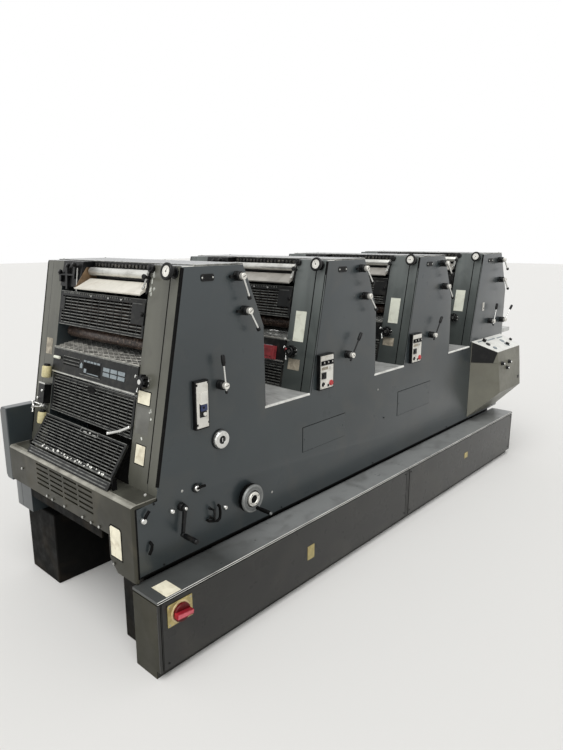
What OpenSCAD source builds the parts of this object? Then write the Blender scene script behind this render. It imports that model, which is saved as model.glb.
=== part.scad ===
// Four-unit sheet-fed offset printing press, seen from its operator side.
// X runs along the press from the inking end, -Y is the operator side, +Z is up.
// Inside the modules lengths are taken from the inking end of the housing, the
// operator face and the floor. in_place() then moves each piece to the origin.

/* [Units] */
// Distance from one printing unit to the next
unit_pitch = 875; // [850:5:920]
// Height of the tower tops above the floor
tower_top_z = 1529; // [1500:1:1570]
// Thickness of the cover plate on each tower
top_cover_t = 4; // [3:1:8]
// Height above the ledge where the sloping tower front begins
tower_foot_rise = 33; // [20:1:45]
// Distance of the tower foot from the inking end
tower_foot_x = 113; // [100:1:125]
// Distance of the front edge of the tower top from the inking end of the unit
tower_top_front_x = 275; // [255:1:290]
// Distance of the back edge of the tower top
tower_top_back_x = 588; // [560:1:610]
// Distance of the upright back of the tower
tower_back_x = 710; // [690:1:725]
// Height of the floor of the wells between the towers
well_floor_z = 889; // [870:1:900]
// Height of the upright back of the tower above the well floor
shoulder_h = 368; // [340:1:400]
// Thickness of the floor plates in the wells
well_plate_t = 4; // [3:1:8]

/* [Frame] */
// Height of the underside of the housing above the floor
housing_bottom_z = 356; // [350:1:380]
// Thickness of the casing on the operator side
operator_wall = 190; // [180:1:200]
// Clear width between the two casings
inner_width = 674; // [620:2:700]
// Thickness of the casing on the drive side
drive_wall = 156; // [140:1:170]
// Distance of the solid bed from the inking end, behind the open bay
bed_start_x = 330; // [310:1:360]
// Length by which the sills stop short of the housing ends
sill_setback = 60; // [50:1:80]
// Width of the sill on the operator side
operator_sill_w = 150; // [120:1:155]
// Width of the sill on the drive side
drive_sill_w = 265; // [220:1:280]
// Depth of the gear cover on the drive side
gear_cover_d = 70; // [50:1:90]
// Height of the underside of the gear cover
gear_cover_bottom_z = 478; // [460:1:500]
// Height of the top of the gear cover
gear_cover_top_z = 840; // [800:1:860]

/* [End panel] */
// Height of the ledge on top of the end panel
ledge_z = 660; // [650:1:670]
// Thickness of the end panel
end_panel_t = 14; // [10:1:18]
// Radius of the rounded outer edges of the end panel
end_panel_r = 14; // [8:1:14]
// Height of the edge over the open bay
bay_top_z = 492; // [470:1:510]
// Width of the leg of the end panel at the operator side
bay_leg_w = 174; // [150:1:185]
// Height of the housing's underside above the foot of that leg
bay_leg_drop = 14; // [8:1:18]
// Size of the cut corner at the foot of the leg
bay_leg_cut = 50; // [30:1:70]
// Length of one ventilation slot
vent_slot_l = 108; // [90:1:114]
// Width of one ventilation slot
vent_slot_w = 8; // [6:1:12]
// Distance from one ventilation slot to the one below it
vent_pitch = 23; // [18:1:25]

/* [Step boxes] */
// Reach of the step boxes in front of the operator face
step_reach = 145; // [120:1:180]
// Length by which the step boxes run in under the housing
step_tuck = 13; // [8:1:20]
// Gap between the step boxes and the underside of the housing
step_top_gap = 20; // [12:1:30]
// Distance of the end of the first step box in front of the inking end
step_overhang = 11; // [5:1:20]
// Distance of the joint between the step boxes past the inking end of the third unit
step_split_shift = 8; // [0:1:20]
// Length by which the step boxes stop short of the feed end
step_end_gap = 35; // [10:1:60]
// Gap between the two step boxes
step_gap = 2; // [1:0.5:4]
// Height of the toe recess
toe_h = 34; // [25:1:50]
// Depth of the toe recess
toe_d = 25; // [15:1:35]

/* [Inking units] */
// Diameter of the ink duct roller
duct_roller_d = 36; // [30:1:40]
// Length of the ink duct from the operator casing
duct_l = 500; // [470:2:520]
// Height of the tower top above the middle of the ink duct roller
duct_roller_drop = 47; // [40:1:55]
// Distance of the duct roller behind the front edge of the tower top
duct_roller_inset = 30; // [26:1:36]
// Height of the duct roller's middle above the lower edge of the ink tray
tray_fall = 70; // [62:1:74]
// Thickness of the ink tray
tray_t = 4; // [3:1:6]
// Diameter of the inking rollers
ink_roller_d = 56; // [50:1:58]
// Diameter of the plate and blanket cylinders
cylinder_d = 172; // [160:1:176]
// Thickness of the guards
guard_t = 12; // [8:1:14]
// Clearance at the ends of the guards
guard_gap = 6; // [5:0.5:9]
// Gap between the ink tray and the upper guards
upper_guard_gap = 20; // [16:1:24]
// Height of the lower edge of the upper guards above the well floor
upper_guard_low_h = 351; // [336:1:361]
// Width of one slot in the guards
slot_w = 8; // [6:1:9]
// Distance from one guard slot to the next
slot_pitch = 16; // [14:1:18]
// Height of the top of the display beams above the well floor
beam_top_h = 239; // [230:1:250]
// Height of the underside of the display beams above the well floor
beam_low_h = 131; // [125:1:140]
// Depth of the display beams
beam_d = 60; // [40:1:80]
// Depth of the mesh shelf behind the display beam
shelf_d = 145; // [120:1:160]
// Gap between the display beams and the plate guards
plate_guard_gap = 12; // [9:1:16]
// Height of the lower edge of the first unit's plate guard above the tower foot
plate_guard_rise = 149; // [140:1:165]
// Height of the hinge of the low guard above the ledge
low_guard_rise = 40; // [36:1:45]
// Distance of the hinge of the low guard from the inking end
low_guard_hinge_x = 44; // [40:1:50]
// Length of the low guard above its hinge
low_guard_l = 148; // [130:1:150]
// Lean of the low guard from upright
low_guard_lean = 34; // [30:1:37]

/* [Levers] */
// Diameter of the lever barrels on the operator face
barrel_d = 40; // [34:1:46]
// Length of the lever barrels
barrel_l = 30; // [24:1:36]
// Diameter of the silver lever hubs
lever_hub_d = 28; // [24:1:32]
// Length of the silver lever hubs
lever_hub_l = 18; // [14:1:20]
// Diameter of the lever rods
lever_rod_d = 9; // [7:1:11]
// Diameter of the black lever grips
grip_d = 18; // [15:1:22]
// Running gap between a turning piece and its seat
running_gap = 0.3; // [0.3:0.1:0.6]
// Length of the impression levers from the hub to the top of the grip
impression_lever_l = 130; // [115:1:140]
// Distance of the impression lever hubs from the inking end of the unit
impression_x = 443; // [430:1:460]
// Height of the impression lever hubs
impression_z = 1046; // [1030:1:1060]
// Length of the two roller levers of each unit
roller_lever_l = 102; // [90:1:108]
// Distance of the upper roller lever hubs from the back edge of the tower top
upper_lever_inset = 40; // [30:1:50]
// Height of the tower top above the upper roller lever hubs
upper_lever_drop = 51; // [40:1:60]
// Distance of the lower roller lever hubs from the back edge of the tower top
lower_lever_inset = 4; // [0:1:12]
// Height of the upper roller lever hubs above the lower ones
lever_spacing = 142; // [135:1:155]
// Distance of the feed lever hub from the back of the last tower
feed_lever_inset = 62; // [50:1:75]
// Height of the feed lever hub above the back edge of the console
feed_lever_rise = 111; // [95:1:125]
// Length of the feed lever
feed_lever_l = 150; // [130:1:170]

/* [Hand controls] */
// Distance of the hand crank shaft from the inking end
crank_x = 222; // [210:1:240]
// Height of the hand crank shaft
crank_z = 588; // [575:1:600]
// Distance from the crank shaft to its grip
crank_throw = 110; // [90:1:120]
// Length of the crank grip
crank_grip_l = 82; // [60:1:95]
// Distance of the handwheel from the inking end
handwheel_x = 588; // [570:1:610]
// Height of the handwheel
handwheel_z = 508; // [495:1:520]
// Diameter of the handwheel
handwheel_d = 128; // [110:1:140]
// Length of the handle on the handwheel
handwheel_handle_l = 86; // [60:1:100]
// Outer diameter of the register ring
register_d = 76; // [66:1:84]
// Diameter of the dials on the towers
dial_d = 66; // [60:1:74]
// Distance from a tower front to the face of its dial
dial_reach = 46; // [38:1:54]
// Width of the main switch plate
switch_plate_w = 116; // [105:1:125]
// Height of the main switch plate
switch_plate_h = 90; // [82:1:100]
// Diameter of the main switch knob
switch_knob_d = 76; // [66:1:80]

/* [Console] */
// Distance of the console from the inking end of the last unit
console_inset = 181; // [165:1:195]
// Length of the console front
console_front_l = 378; // [350:1:400]
// Reach of the console top in front of the operator face
console_reach = 153; // [140:1:165]
// Reach of the pod's lower edge in front of the operator face
pod_reach = 180; // [165:1:190]
// Reach of the pod's knobs in front of the operator face
pod_knob_reach = 186; // [180:1:200]
// Height of the back edge of the console top
console_back_z = 925; // [915:1:935]
// Fall of the console top from its back edge to its front edge
console_fall = 70; // [58:1:80]
// Height of the console from its underside to its back edge
console_h = 153; // [140:1:165]
// Length of the slanted end of the console along the press
console_skew = 118; // [100:1:130]
// Height of the underside of the pod at the front
pod_front_z = 563; // [540:1:580]
// Height of the pod's lower edge above the underside of the housing
pod_back_rise = 16; // [10:1:30]
// Length of the feed table past the last tower
feed_l = 265; // [240:1:290]
// Height of the feed table
feed_z = 940; // [930:1:960]

/* [Hidden] */
$fn = 48;

last_unit = 3;
drive_y = operator_wall + inner_width;
back_y = drive_y + drive_wall;
press_l = last_unit * unit_pitch + tower_back_x;
tower_foot_z = ledge_z + tower_foot_rise;
slope = atan2(tower_top_front_x - tower_foot_x, tower_top_z - tower_foot_z);
casing_top_z = tower_top_z - top_cover_t;

// Heights above the well floor hold for a tower that stands this far above it, and spread
// with a taller or lower one
drawn_tower_h = 640;

function in_tower(h) = well_floor_z + h * (tower_top_z - well_floor_z) / drawn_tower_h;

shoulder_z = in_tower(shoulder_h);

// Distance of the sloping tower front from the inking end of its unit at one height
function front_x(z) = tower_foot_x + (z - tower_foot_z) * tan(slope);
// Distance of the shoulder at the back of a tower at one height
function shoulder_x(z) = tower_back_x - (z - shoulder_z) * (tower_back_x - tower_top_back_x)
    / (tower_top_z - shoulder_z);

// The origin is on the floor, at the middle of the press's whole outline
x_low = -step_overhang;
x_high = press_l + feed_l;
y_low = -max(pod_knob_reach, pod_reach);
y_high = back_y + gear_cover_d;

// Leans of the levers from upright, unit by unit, as they were left
impression_leans = [-6, 34, 34, 16];
upper_leans = [158, 142, 136, 134];
lower_leans = [148, 140, 141, 136];
feed_lever_lean = 48;

module in_place() translate([-(x_low + x_high) / 2, -(y_low + y_high) / 2, 0]) children();

module at_unit(k) translate([k * unit_pitch, 0, 0]) children();

module at_every_unit() for (k = [0 : last_unit]) at_unit(k) children();

// An outline of X and Z points, drawn out from y0 to y1
module across(y0, y1, outline) translate([0, y1, 0]) rotate([90, 0, 0]) linear_extrude(y1 - y0)
    polygon(outline);

// An outline of Y and Z points, drawn out from x0 to x1
module lengthwise(x0, x1, outline) translate([x0, 0, 0]) rotate([90, 0, 90]) linear_extrude(x1 - x0)
    polygon(outline);

// A round bar across the press
module bar_across(x, z, y0, y1, d) translate([x, y0, z]) rotate([-90, 0, 0]) cylinder(h = y1 - y0, d = d);

// The sloping front of a tower: up is along the slope, and -X points out of it
module on_front(y, z) translate([front_x(z), y, z]) rotate([0, slope, 0]) children();

// A round piece that stands out of the sloping front
module stud_on_front(y, z, h, d) on_front(y, z) rotate([0, -90, 0]) cylinder(h = h, d = d);

function tower_outline() = [
    [front_x(well_floor_z), well_floor_z], [tower_back_x, well_floor_z], [tower_back_x, shoulder_z],
    [shoulder_x(casing_top_z), casing_top_z], [front_x(casing_top_z), casing_top_z]
];

function lower_outline() = [
    [end_panel_t, housing_bottom_z], [press_l, housing_bottom_z], [press_l, well_floor_z],
    [front_x(well_floor_z), well_floor_z], [tower_foot_x, tower_foot_z],
    [tower_foot_x, ledge_z - end_panel_t], [end_panel_t, ledge_z - end_panel_t]
];

module operator_lower_housing() color("dimgray") in_place() across(0, operator_wall, lower_outline());

module operator_tower_casings() color("dimgray") in_place()
    at_every_unit() across(0, operator_wall, tower_outline());

module drive_lower_housing() color("dimgray") in_place() across(drive_y, back_y, lower_outline());

module drive_tower_casings() color("dimgray") in_place()
    at_every_unit() across(drive_y, back_y, tower_outline());

module bed() color("darkslategray") in_place() across(operator_wall, drive_y, [
    [bed_start_x, housing_bottom_z], [press_l, housing_bottom_z],
    [press_l, well_floor_z], [bed_start_x, well_floor_z]
]);

module base_sills() color("darkslategray") in_place() {
    sill_l = press_l - 2 * sill_setback;
    translate([sill_setback, operator_wall - operator_sill_w, 0])
        cube([sill_l, operator_sill_w, housing_bottom_z]);
    translate([sill_setback, back_y - drive_sill_w, 0])
        cube([sill_l, drive_sill_w, housing_bottom_z]);
}

module drive_gear_cover() color("dimgray") in_place() {
    edge = gear_cover_d / 4;
    lengthwise(0, press_l, [
        [back_y, gear_cover_bottom_z], [back_y + gear_cover_d - edge, gear_cover_bottom_z],
        [back_y + gear_cover_d, gear_cover_bottom_z + edge],
        [back_y + gear_cover_d, gear_cover_top_z - edge],
        [back_y + gear_cover_d - edge, gear_cover_top_z], [back_y, gear_cover_top_z]
    ]);
}

lug_t = 12;
lug_w = 18;
low_guard_hinge_z = ledge_z + low_guard_rise;
bay_leg_z = housing_bottom_z - bay_leg_drop;
vent_rows = 5;
vent_columns = 4;
vent_first_y = 280;
vent_column_pitch = 122;
vent_drop = 29;
apron_t = 6;
apron_gap = 12;

module end_panel() color("dimgray") in_place() {
    r = end_panel_r;
    difference() {
        intersection() {
            // Front plate and ledge, with the rounded edge between them
            across(0, back_y, concat(
                [[0, bay_leg_z]],
                [for (a = [180 : -15 : 90]) [r + r * cos(a), ledge_z - r + r * sin(a)]],
                [[tower_foot_x, ledge_z], [tower_foot_x, ledge_z - end_panel_t],
                 [end_panel_t, ledge_z - end_panel_t], [end_panel_t, bay_leg_z]]
            ));
            // Plan, with the rounded corner at the operator side
            translate([0, 0, bay_leg_z]) linear_extrude(ledge_z - bay_leg_z) polygon(concat(
                [[tower_foot_x, 0]], [[tower_foot_x, back_y], [0, back_y]],
                [for (a = [180 : 15 : 270]) [r + r * cos(a), r + r * sin(a)]]
            ));
        }
        // The open bay behind the panel runs on to the drive side
        lengthwise(-1, end_panel_t + 1, [
            [bay_leg_w, bay_top_z], [bay_leg_w, bay_leg_z + bay_leg_cut],
            [bay_leg_w - bay_leg_cut, bay_leg_z - 1], [back_y + 1, bay_leg_z - 1], [back_y + 1, bay_top_z]
        ]);
        // Ventilation slots, in four columns side by side
        for (i = [0 : vent_columns - 1], j = [0 : vent_rows - 1])
            translate([-1, vent_first_y + i * vent_column_pitch, ledge_z - vent_drop - j * vent_pitch])
                cube([end_panel_t + 2, vent_slot_l, vent_slot_w]);
    }
    // Apron between the ledge and the low guard, in line with it
    apron_l = (low_guard_hinge_z - ledge_z) / cos(low_guard_lean) - apron_gap;
    translate([low_guard_hinge_x, 0, low_guard_hinge_z]) rotate([0, low_guard_lean, 0])
        translate([-apron_t / 2, operator_wall, -apron_gap - apron_l])
            cube([apron_t, inner_width, apron_l]);
    // Lugs on the ledge that carry the pin of the low guard
    for (y = [operator_wall - lug_t, drive_y]) translate([low_guard_hinge_x - lug_w / 2, y, ledge_z])
        cube([lug_w, lug_t, low_guard_hinge_z - ledge_z + lug_w / 2]);
}

step_top_z = housing_bottom_z - step_top_gap;
step_split_x = 2 * unit_pitch + step_split_shift;
step_end_x = press_l - step_end_gap;

function step_outline() = [
    [-step_reach + toe_d, 0], [step_tuck, 0], [step_tuck, step_top_z], [-step_reach, step_top_z],
    [-step_reach, toe_h], [-step_reach + toe_d, toe_h]
];

switch_x = 30;
switch_drop = 35;
switch_z = step_top_z - switch_plate_h - switch_drop;
switch_plate_t = 6;
step_bracket_w = 40;
step_bracket_h = 60;
step_bracket_drop = 160;
step_bracket_in = 220;

module step_boxes() color("dimgray") in_place() {
    lengthwise(-step_overhang, step_split_x - step_gap / 2, step_outline());
    lengthwise(step_split_x + step_gap / 2, step_end_x, step_outline());
    translate([switch_x, -step_reach - switch_plate_t, switch_z])
        cube([switch_plate_w, switch_plate_t, switch_plate_h]);
    // Brackets that hold the boxes to the operator sill
    sill_y = operator_wall - operator_sill_w;
    for (x = [step_bracket_in, step_split_x - step_bracket_in, step_split_x + step_bracket_in,
        step_end_x - step_bracket_in])
        translate([x - step_bracket_w / 2, step_tuck, step_top_z - step_bracket_drop])
            cube([step_bracket_w, sill_y - step_tuck, step_bracket_h]);
}

module well_floor_plates() color("gray") in_place() for (k = [0 : last_unit - 1])
    translate([k * unit_pitch + tower_back_x, 0, well_floor_z])
        cube([unit_pitch - tower_back_x + front_x(well_floor_z), back_y, well_plate_t]);

module tower_top_covers() color("dimgray") in_place() at_every_unit()
    translate([duct_back_x, 0, casing_top_z])
        cube([tower_top_back_x - duct_back_x, back_y, top_cover_t]);

rear_vent_rise = 120;
rear_vent_pitch = 26;
rear_vent_in = 60;

module tower_rear_covers() color("dimgray") in_place() at_every_unit() difference() {
    t = 6;
    across(operator_wall, drive_y, [
        [tower_back_x - t, well_floor_z], [tower_back_x, well_floor_z], [tower_back_x, shoulder_z],
        [shoulder_x(casing_top_z), casing_top_z], [shoulder_x(casing_top_z) - t, casing_top_z],
        [tower_back_x - t, shoulder_z]
    ]);
    for (i = [0 : 7]) translate([tower_back_x - t - 1, operator_wall + rear_vent_in,
        in_tower(rear_vent_rise + i * rear_vent_pitch)])
        cube([t + 2, inner_width - 2 * rear_vent_in, slot_w]);
}

tray_lip = 34;
tray_gap = 8;
tray_end_gap = 5;
cheek_lead = 20;
duct_bar_w = 40;
duct_bar_drop = 30;
duct_roller_x = tower_top_front_x + duct_roller_inset;
duct_roller_z = tower_top_z - duct_roller_drop;
duct_back_x = duct_roller_x + duct_roller_d / 2 + tray_gap;
tray_low_z = duct_roller_z - tray_fall;
bracket_t = 10;
bracket_lip = 8;
duct_end_y = operator_wall + duct_l;

module ink_trays() color("ivory") in_place() at_every_unit() {
    low_x = front_x(tray_low_z) - tray_lip;
    high_x = duct_roller_x - tray_end_gap;
    high_z = duct_roller_z - duct_roller_d / 2 - tray_t - tray_gap;
    // The sloping tray below the roller, and the cheek at its far end
    across(operator_wall + bracket_t, duct_end_y, [
        [low_x, tray_low_z - tray_t], [high_x, high_z - tray_t], [high_x, high_z], [low_x, tray_low_z]
    ]);
    across(duct_end_y, duct_end_y + tray_t, [
        [low_x, tray_low_z - tray_t], [duct_back_x, high_z - tray_t],
        [duct_back_x, duct_roller_z + duct_roller_d / 2],
        [duct_roller_x - cheek_lead, duct_roller_z + duct_roller_d / 2]
    ]);
    // The ink duct's back bar behind the roller
    across(operator_wall, drive_y, [
        [duct_back_x, duct_roller_z - duct_bar_drop],
        [duct_back_x + duct_bar_w, duct_roller_z - duct_bar_drop],
        [duct_back_x + duct_bar_w, casing_top_z], [duct_back_x, casing_top_z]
    ]);
}

module duct_brackets() color("#202224") in_place() at_every_unit() {
    outline = [
        [front_x(tray_low_z) - bracket_lip, tray_low_z], [duct_back_x, tray_low_z],
        [duct_back_x, casing_top_z], [front_x(casing_top_z), casing_top_z]
    ];
    // Plate at the operator casing that carries the near end of the duct roller
    across(operator_wall, operator_wall + bracket_t, outline);
    // Drive block between the far cheek and the drive casing
    across(duct_end_y + tray_t, drive_y, outline);
}

// One ink duct roller between its bracket and the far cheek
module duct_roller(k) color("gainsboro") in_place() at_unit(k) bar_across(duct_roller_x, duct_roller_z,
    operator_wall + bracket_t + running_gap, duct_end_y - running_gap, duct_roller_d);

module ink_duct_roller_1() duct_roller(0);
module ink_duct_roller_2() duct_roller(1);
module ink_duct_roller_3() duct_roller(2);
module ink_duct_roller_4() duct_roller(3);

// Places of the inking rollers: depth behind the sloping front, and height above the well floor
ink_roller_places = [[72, 311], [129, 363], [56, 429], [123, 453]];

module ink_rollers() color("saddlebrown") in_place() at_every_unit() for (p = ink_roller_places) {
    z = in_tower(p[1]);
    bar_across(front_x(z) + p[0], z, operator_wall, drive_y, ink_roller_d);
}

cylinder_gap = 3;
plate_cylinder_x = 342;
cylinder_z = well_floor_z + cylinder_gap + cylinder_d / 2;

module printing_cylinders() color("silver") in_place() at_every_unit() for (i = [0, 1])
    bar_across(plate_cylinder_x + i * (cylinder_d + cylinder_gap), cylinder_z, operator_wall, drive_y,
        cylinder_d);

beam_lip = 6;
shelf_rise = 28;
beam_low_z = in_tower(beam_low_h);
beam_top_z = in_tower(beam_top_h);

module display_beams() color("#34373a") in_place() at_every_unit() {
    low_x = front_x(beam_low_z) - beam_lip;
    top_x = front_x(beam_top_z) - beam_lip;
    under = beam_top_z + shelf_rise * beam_d / shelf_d;
    across(operator_wall, drive_y, [
        [low_x, beam_low_z], [low_x + beam_d, beam_low_z], [top_x + beam_d, under],
        [top_x + shelf_d, beam_top_z + shelf_rise], [top_x + shelf_d, beam_top_z + shelf_rise + well_plate_t],
        [top_x, beam_top_z + well_plate_t]
    ]);
}

guard_rim = 22;
pin_d = 10;
pin_inset = 8;
upper_guard_top_z = tray_low_z - upper_guard_gap;
upper_guard_low_z = in_tower(upper_guard_low_h);
plate_guard_top_z = beam_low_z - plate_guard_gap;
plate_guard_low_z = tower_foot_z + plate_guard_rise;

// A slotted guard plate that hangs down by l from its upper edge, from y0 to y1
module slotted_plate(y0, y1, l) {
    rows = floor((l - 2 * guard_rim) / slot_pitch);
    difference() {
        translate([0, y0, -l]) cube([guard_t, y1 - y0, l]);
        for (i = [0 : rows]) translate([-1, y0 + guard_rim, -guard_rim - slot_w - i * slot_pitch])
            cube([guard_t + 2, y1 - y0 - 2 * guard_rim, slot_w]);
    }
}

// A guard that hangs on the sloping front from one height to another, on a pin between the casings
module front_guard(top_z, low_z) on_front(0, top_z) {
    slotted_plate(operator_wall + guard_gap, drive_y - guard_gap, (top_z - low_z) / cos(slope));
    bar_across(guard_t / 2, -pin_inset, operator_wall + running_gap, drive_y - running_gap, pin_d);
}

latch_w = 80;
latch_h = 56;
latch_t = 4;
latch_knob_d = 16;
latch_knob_l = 10;

// The upper guard has a latch plate with a knob at its operator end
module upper_guard(k) color("#2b2d30") in_place() at_unit(k) {
    front_guard(upper_guard_top_z, upper_guard_low_z);
    on_front(operator_wall + guard_gap, upper_guard_top_z - guard_rim - latch_h)
        translate([-latch_t, 0, 0]) {
            cube([latch_t + 1, latch_w, latch_h]);
            translate([0, latch_w / 2, latch_h / 3]) rotate([0, -90, 0])
                cylinder(h = latch_knob_l, d = latch_knob_d);
        }
}

module upper_guard_1() upper_guard(0);
module upper_guard_2() upper_guard(1);
module upper_guard_3() upper_guard(2);
module upper_guard_4() upper_guard(3);

module plate_guard_1() color("#2b2d30") in_place() front_guard(plate_guard_top_z, plate_guard_low_z);

module fixed_plate_guards() color("#2b2d30") in_place() for (k = [1 : last_unit]) at_unit(k)
    on_front(0, plate_guard_top_z) slotted_plate(operator_wall, drive_y,
        (plate_guard_top_z - well_floor_z - well_plate_t) / cos(slope));

handle_w = 130;
handle_h = 15;
handle_in = 210;
handle_edge = 4;

module low_guard() color("#2b2d30") in_place()
    translate([low_guard_hinge_x, 0, low_guard_hinge_z]) rotate([0, low_guard_lean, 0]) {
        y0 = operator_wall + guard_gap;
        y1 = drive_y - guard_gap;
        difference() {
            translate([-guard_t / 2, 0, low_guard_l]) slotted_plate(y0, y1, low_guard_l);
            translate([-guard_t, y0 + handle_in, low_guard_l - handle_edge - handle_h])
                cube([2 * guard_t, handle_w, handle_h]);
        }
        bar_across(0, 0, operator_wall + running_gap, drive_y - running_gap, pin_d);
    }

// A lever on the operator face, with its hub at x and z, that leans from upright towards +X.
// The hub turns against the end of its barrel, with the rod, grip and tail in one piece.
module lever(x, z, lean, l, grip_l, tail_l) translate([x, -barrel_l - running_gap, z])
    rotate([0, lean, 0]) {
        rod_y = -lever_hub_l / 2;
        rotate([90, 0, 0]) cylinder(h = lever_hub_l, d = lever_hub_d);
        translate([0, rod_y, -tail_l]) cylinder(h = l + tail_l - grip_l, d = lever_rod_d);
        translate([0, rod_y, l - grip_l]) cylinder(h = grip_l, d = grip_d);
    }

impression_grip_l = 46;
impression_tail_l = 34;
roller_tip_l = 8;
upper_lever_x = tower_top_back_x - upper_lever_inset;
upper_lever_z = tower_top_z - upper_lever_drop;
lower_lever_x = tower_top_back_x - lower_lever_inset;
lower_lever_z = upper_lever_z - lever_spacing;
feed_lever_x = tower_back_x - feed_lever_inset;
feed_lever_z = console_back_z + feed_lever_rise;

module impression_lever(k) color("#181818") in_place() at_unit(k) lever(impression_x, impression_z,
    impression_leans[k], impression_lever_l, impression_grip_l, impression_tail_l);

module impression_lever_1() impression_lever(0);
module impression_lever_2() impression_lever(1);
module impression_lever_3() impression_lever(2);
module impression_lever_4() impression_lever(3);

module upper_roller_lever(k) color("silver") in_place() at_unit(k)
    lever(upper_lever_x, upper_lever_z, upper_leans[k], roller_lever_l, roller_tip_l, 0);

module upper_roller_lever_1() upper_roller_lever(0);
module upper_roller_lever_2() upper_roller_lever(1);
module upper_roller_lever_3() upper_roller_lever(2);
module upper_roller_lever_4() upper_roller_lever(3);

module lower_roller_lever(k) color("silver") in_place() at_unit(k)
    lever(lower_lever_x, lower_lever_z, lower_leans[k], roller_lever_l, roller_tip_l, 0);

module lower_roller_lever_1() lower_roller_lever(0);
module lower_roller_lever_2() lower_roller_lever(1);
module lower_roller_lever_3() lower_roller_lever(2);
module lower_roller_lever_4() lower_roller_lever(3);

module feed_lever() color("#181818") in_place() at_unit(last_unit)
    lever(feed_lever_x, feed_lever_z, feed_lever_lean, feed_lever_l, impression_grip_l, 0);

// A round boss on the operator face
module face_boss(x, z, h, d) translate([x, 0, z]) rotate([90, 0, 0]) cylinder(h = h, d = d);

module lever_barrels() color("#181818") in_place() {
    at_every_unit() {
        face_boss(impression_x, impression_z, barrel_l, barrel_d);
        face_boss(upper_lever_x, upper_lever_z, barrel_l, barrel_d);
        face_boss(lower_lever_x, lower_lever_z, barrel_l, barrel_d);
    }
    at_unit(last_unit) face_boss(feed_lever_x, feed_lever_z, barrel_l, barrel_d);
}

crank_boss_l = 20;
crank_boss_d = 34;
crank_hub_d = 28;
crank_arm_t = 14;
crank_grip_d = 22;
crank_lean = 188;

module hand_crank() color("#181818") in_place()
    translate([crank_x, -crank_boss_l - running_gap, crank_z]) rotate([0, crank_lean, 0]) {
        rotate([90, 0, 0]) cylinder(h = crank_arm_t, d = crank_hub_d);
        translate([-crank_arm_t / 2, -crank_arm_t, 0]) cube([crank_arm_t, crank_arm_t, crank_throw]);
        translate([0, 0, crank_throw]) rotate([90, 0, 0])
            cylinder(h = crank_arm_t + crank_grip_l, d = crank_grip_d);
    }

wheel_boss_l = 12;
wheel_boss_d = 90;
wheel_t = 34;
wheel_ring_d = 66;
wheel_ring_t = 5;
handle_d = 18;
handle_inset = 10;
handle_turn = -67;

module handwheel() color("#202224") in_place()
    translate([handwheel_x, -wheel_boss_l - running_gap, handwheel_z]) rotate([90, 0, 0]) {
        cylinder(h = wheel_t, d = handwheel_d);
        cylinder(h = wheel_t + wheel_ring_t, d = wheel_ring_d);
        rotate([0, 0, handle_turn]) translate([handwheel_d / 2 - handle_inset, 0, 0])
            cylinder(h = wheel_t + handwheel_handle_l, d = handle_d);
    }

register_x = 437;
register_z = 814;
register_t = 22;
crank_screw = [-46, -4];
latch_screw = [80, 52];
wheel_screw = [-134, -5];
knob_screw_l = 14;
knob_screw_d = 20;
latch_screw_d = 26;
end_knob_l = 16;
end_knob_d = 24;
end_knob_x = 42;
end_knob_drop = 68;
pull_x = 372;
pull_z = 481;
pull_h = 50;
pull_w = 10;
pull_reach = 26;

// Fixed bosses, knobs and the pull handle on the operator face of the first unit
module face_fittings() color("silver") in_place() {
    face_boss(crank_x, crank_z, crank_boss_l, crank_boss_d);
    face_boss(handwheel_x, handwheel_z, wheel_boss_l, wheel_boss_d);
    face_boss(register_x, register_z, register_t, register_d);
    // Screw knobs beside the crank and the handwheel, and one under the ledge
    face_boss(crank_x + crank_screw[0], crank_z + crank_screw[1], knob_screw_l, knob_screw_d);
    face_boss(crank_x + latch_screw[0], crank_z + latch_screw[1], knob_screw_l, latch_screw_d);
    face_boss(handwheel_x + wheel_screw[0], handwheel_z + wheel_screw[1], knob_screw_l, knob_screw_d);
    face_boss(end_knob_x, ledge_z - end_knob_drop, end_knob_l, end_knob_d);
    // Pull handle with its two feet
    for (z = [pull_z + pull_w / 2, pull_z + pull_h - pull_w / 2]) face_boss(pull_x, z, pull_reach, pull_w);
    translate([pull_x - pull_w / 2, -pull_reach - pull_w, pull_z]) cube([pull_w, pull_w, pull_h]);
}

first_panel = [300, 885, 70, 198];
other_panel = [200, 900, 112, 176];
panel_t = 24;
tag_place = [318, 1128];
tag_size = [22, 58];
tag_t = 4;

// Switch panels on the operator face, and the small tag on the last unit
module switch_panels() color("#202224") in_place() {
    translate([first_panel[0], -panel_t, first_panel[1]]) cube([first_panel[2], panel_t, first_panel[3]]);
    for (k = [1, 2]) at_unit(k) translate([other_panel[0], -panel_t, other_panel[1]])
        cube([other_panel[2], panel_t, other_panel[3]]);
    at_unit(last_unit) translate([tag_place[0], -tag_t, tag_place[1]])
        cube([tag_size[0], tag_t, tag_size[1]]);
}

knob_y = 140;
knob_h = 189;
knob_d = 60;
knob_l = 34;
bottle_d = 43;
bottle_h = 66;
bottle_in = 3;
bottle_rises = [107, 323];
box_w = 54;
box_h = 96;
box_d = 36;
box_rise = 205;

// Fittings on the sloping columns: a round knob at each operator column, and two bottles
// with a box between them on the far column of the first unit
module column_fittings() color("#202224") in_place() {
    at_every_unit() stud_on_front(knob_y, in_tower(knob_h), knob_l, knob_d);
    for (rise = bottle_rises) on_front(drive_y + bottle_in + bottle_d / 2, ledge_z + rise)
        translate([-bottle_d / 2, 0, 0]) cylinder(h = bottle_h, d = bottle_d);
    on_front(drive_y + bottle_in, ledge_z + box_rise) translate([-box_d, 0, 0])
        cube([box_d, box_w, box_h]);
}

dial_y = 36;
dial_drop = 30;
dial_t = 14;
dial_neck_d = 26;
dial_foot_d = 46;
dial_foot_t = 8;

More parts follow.
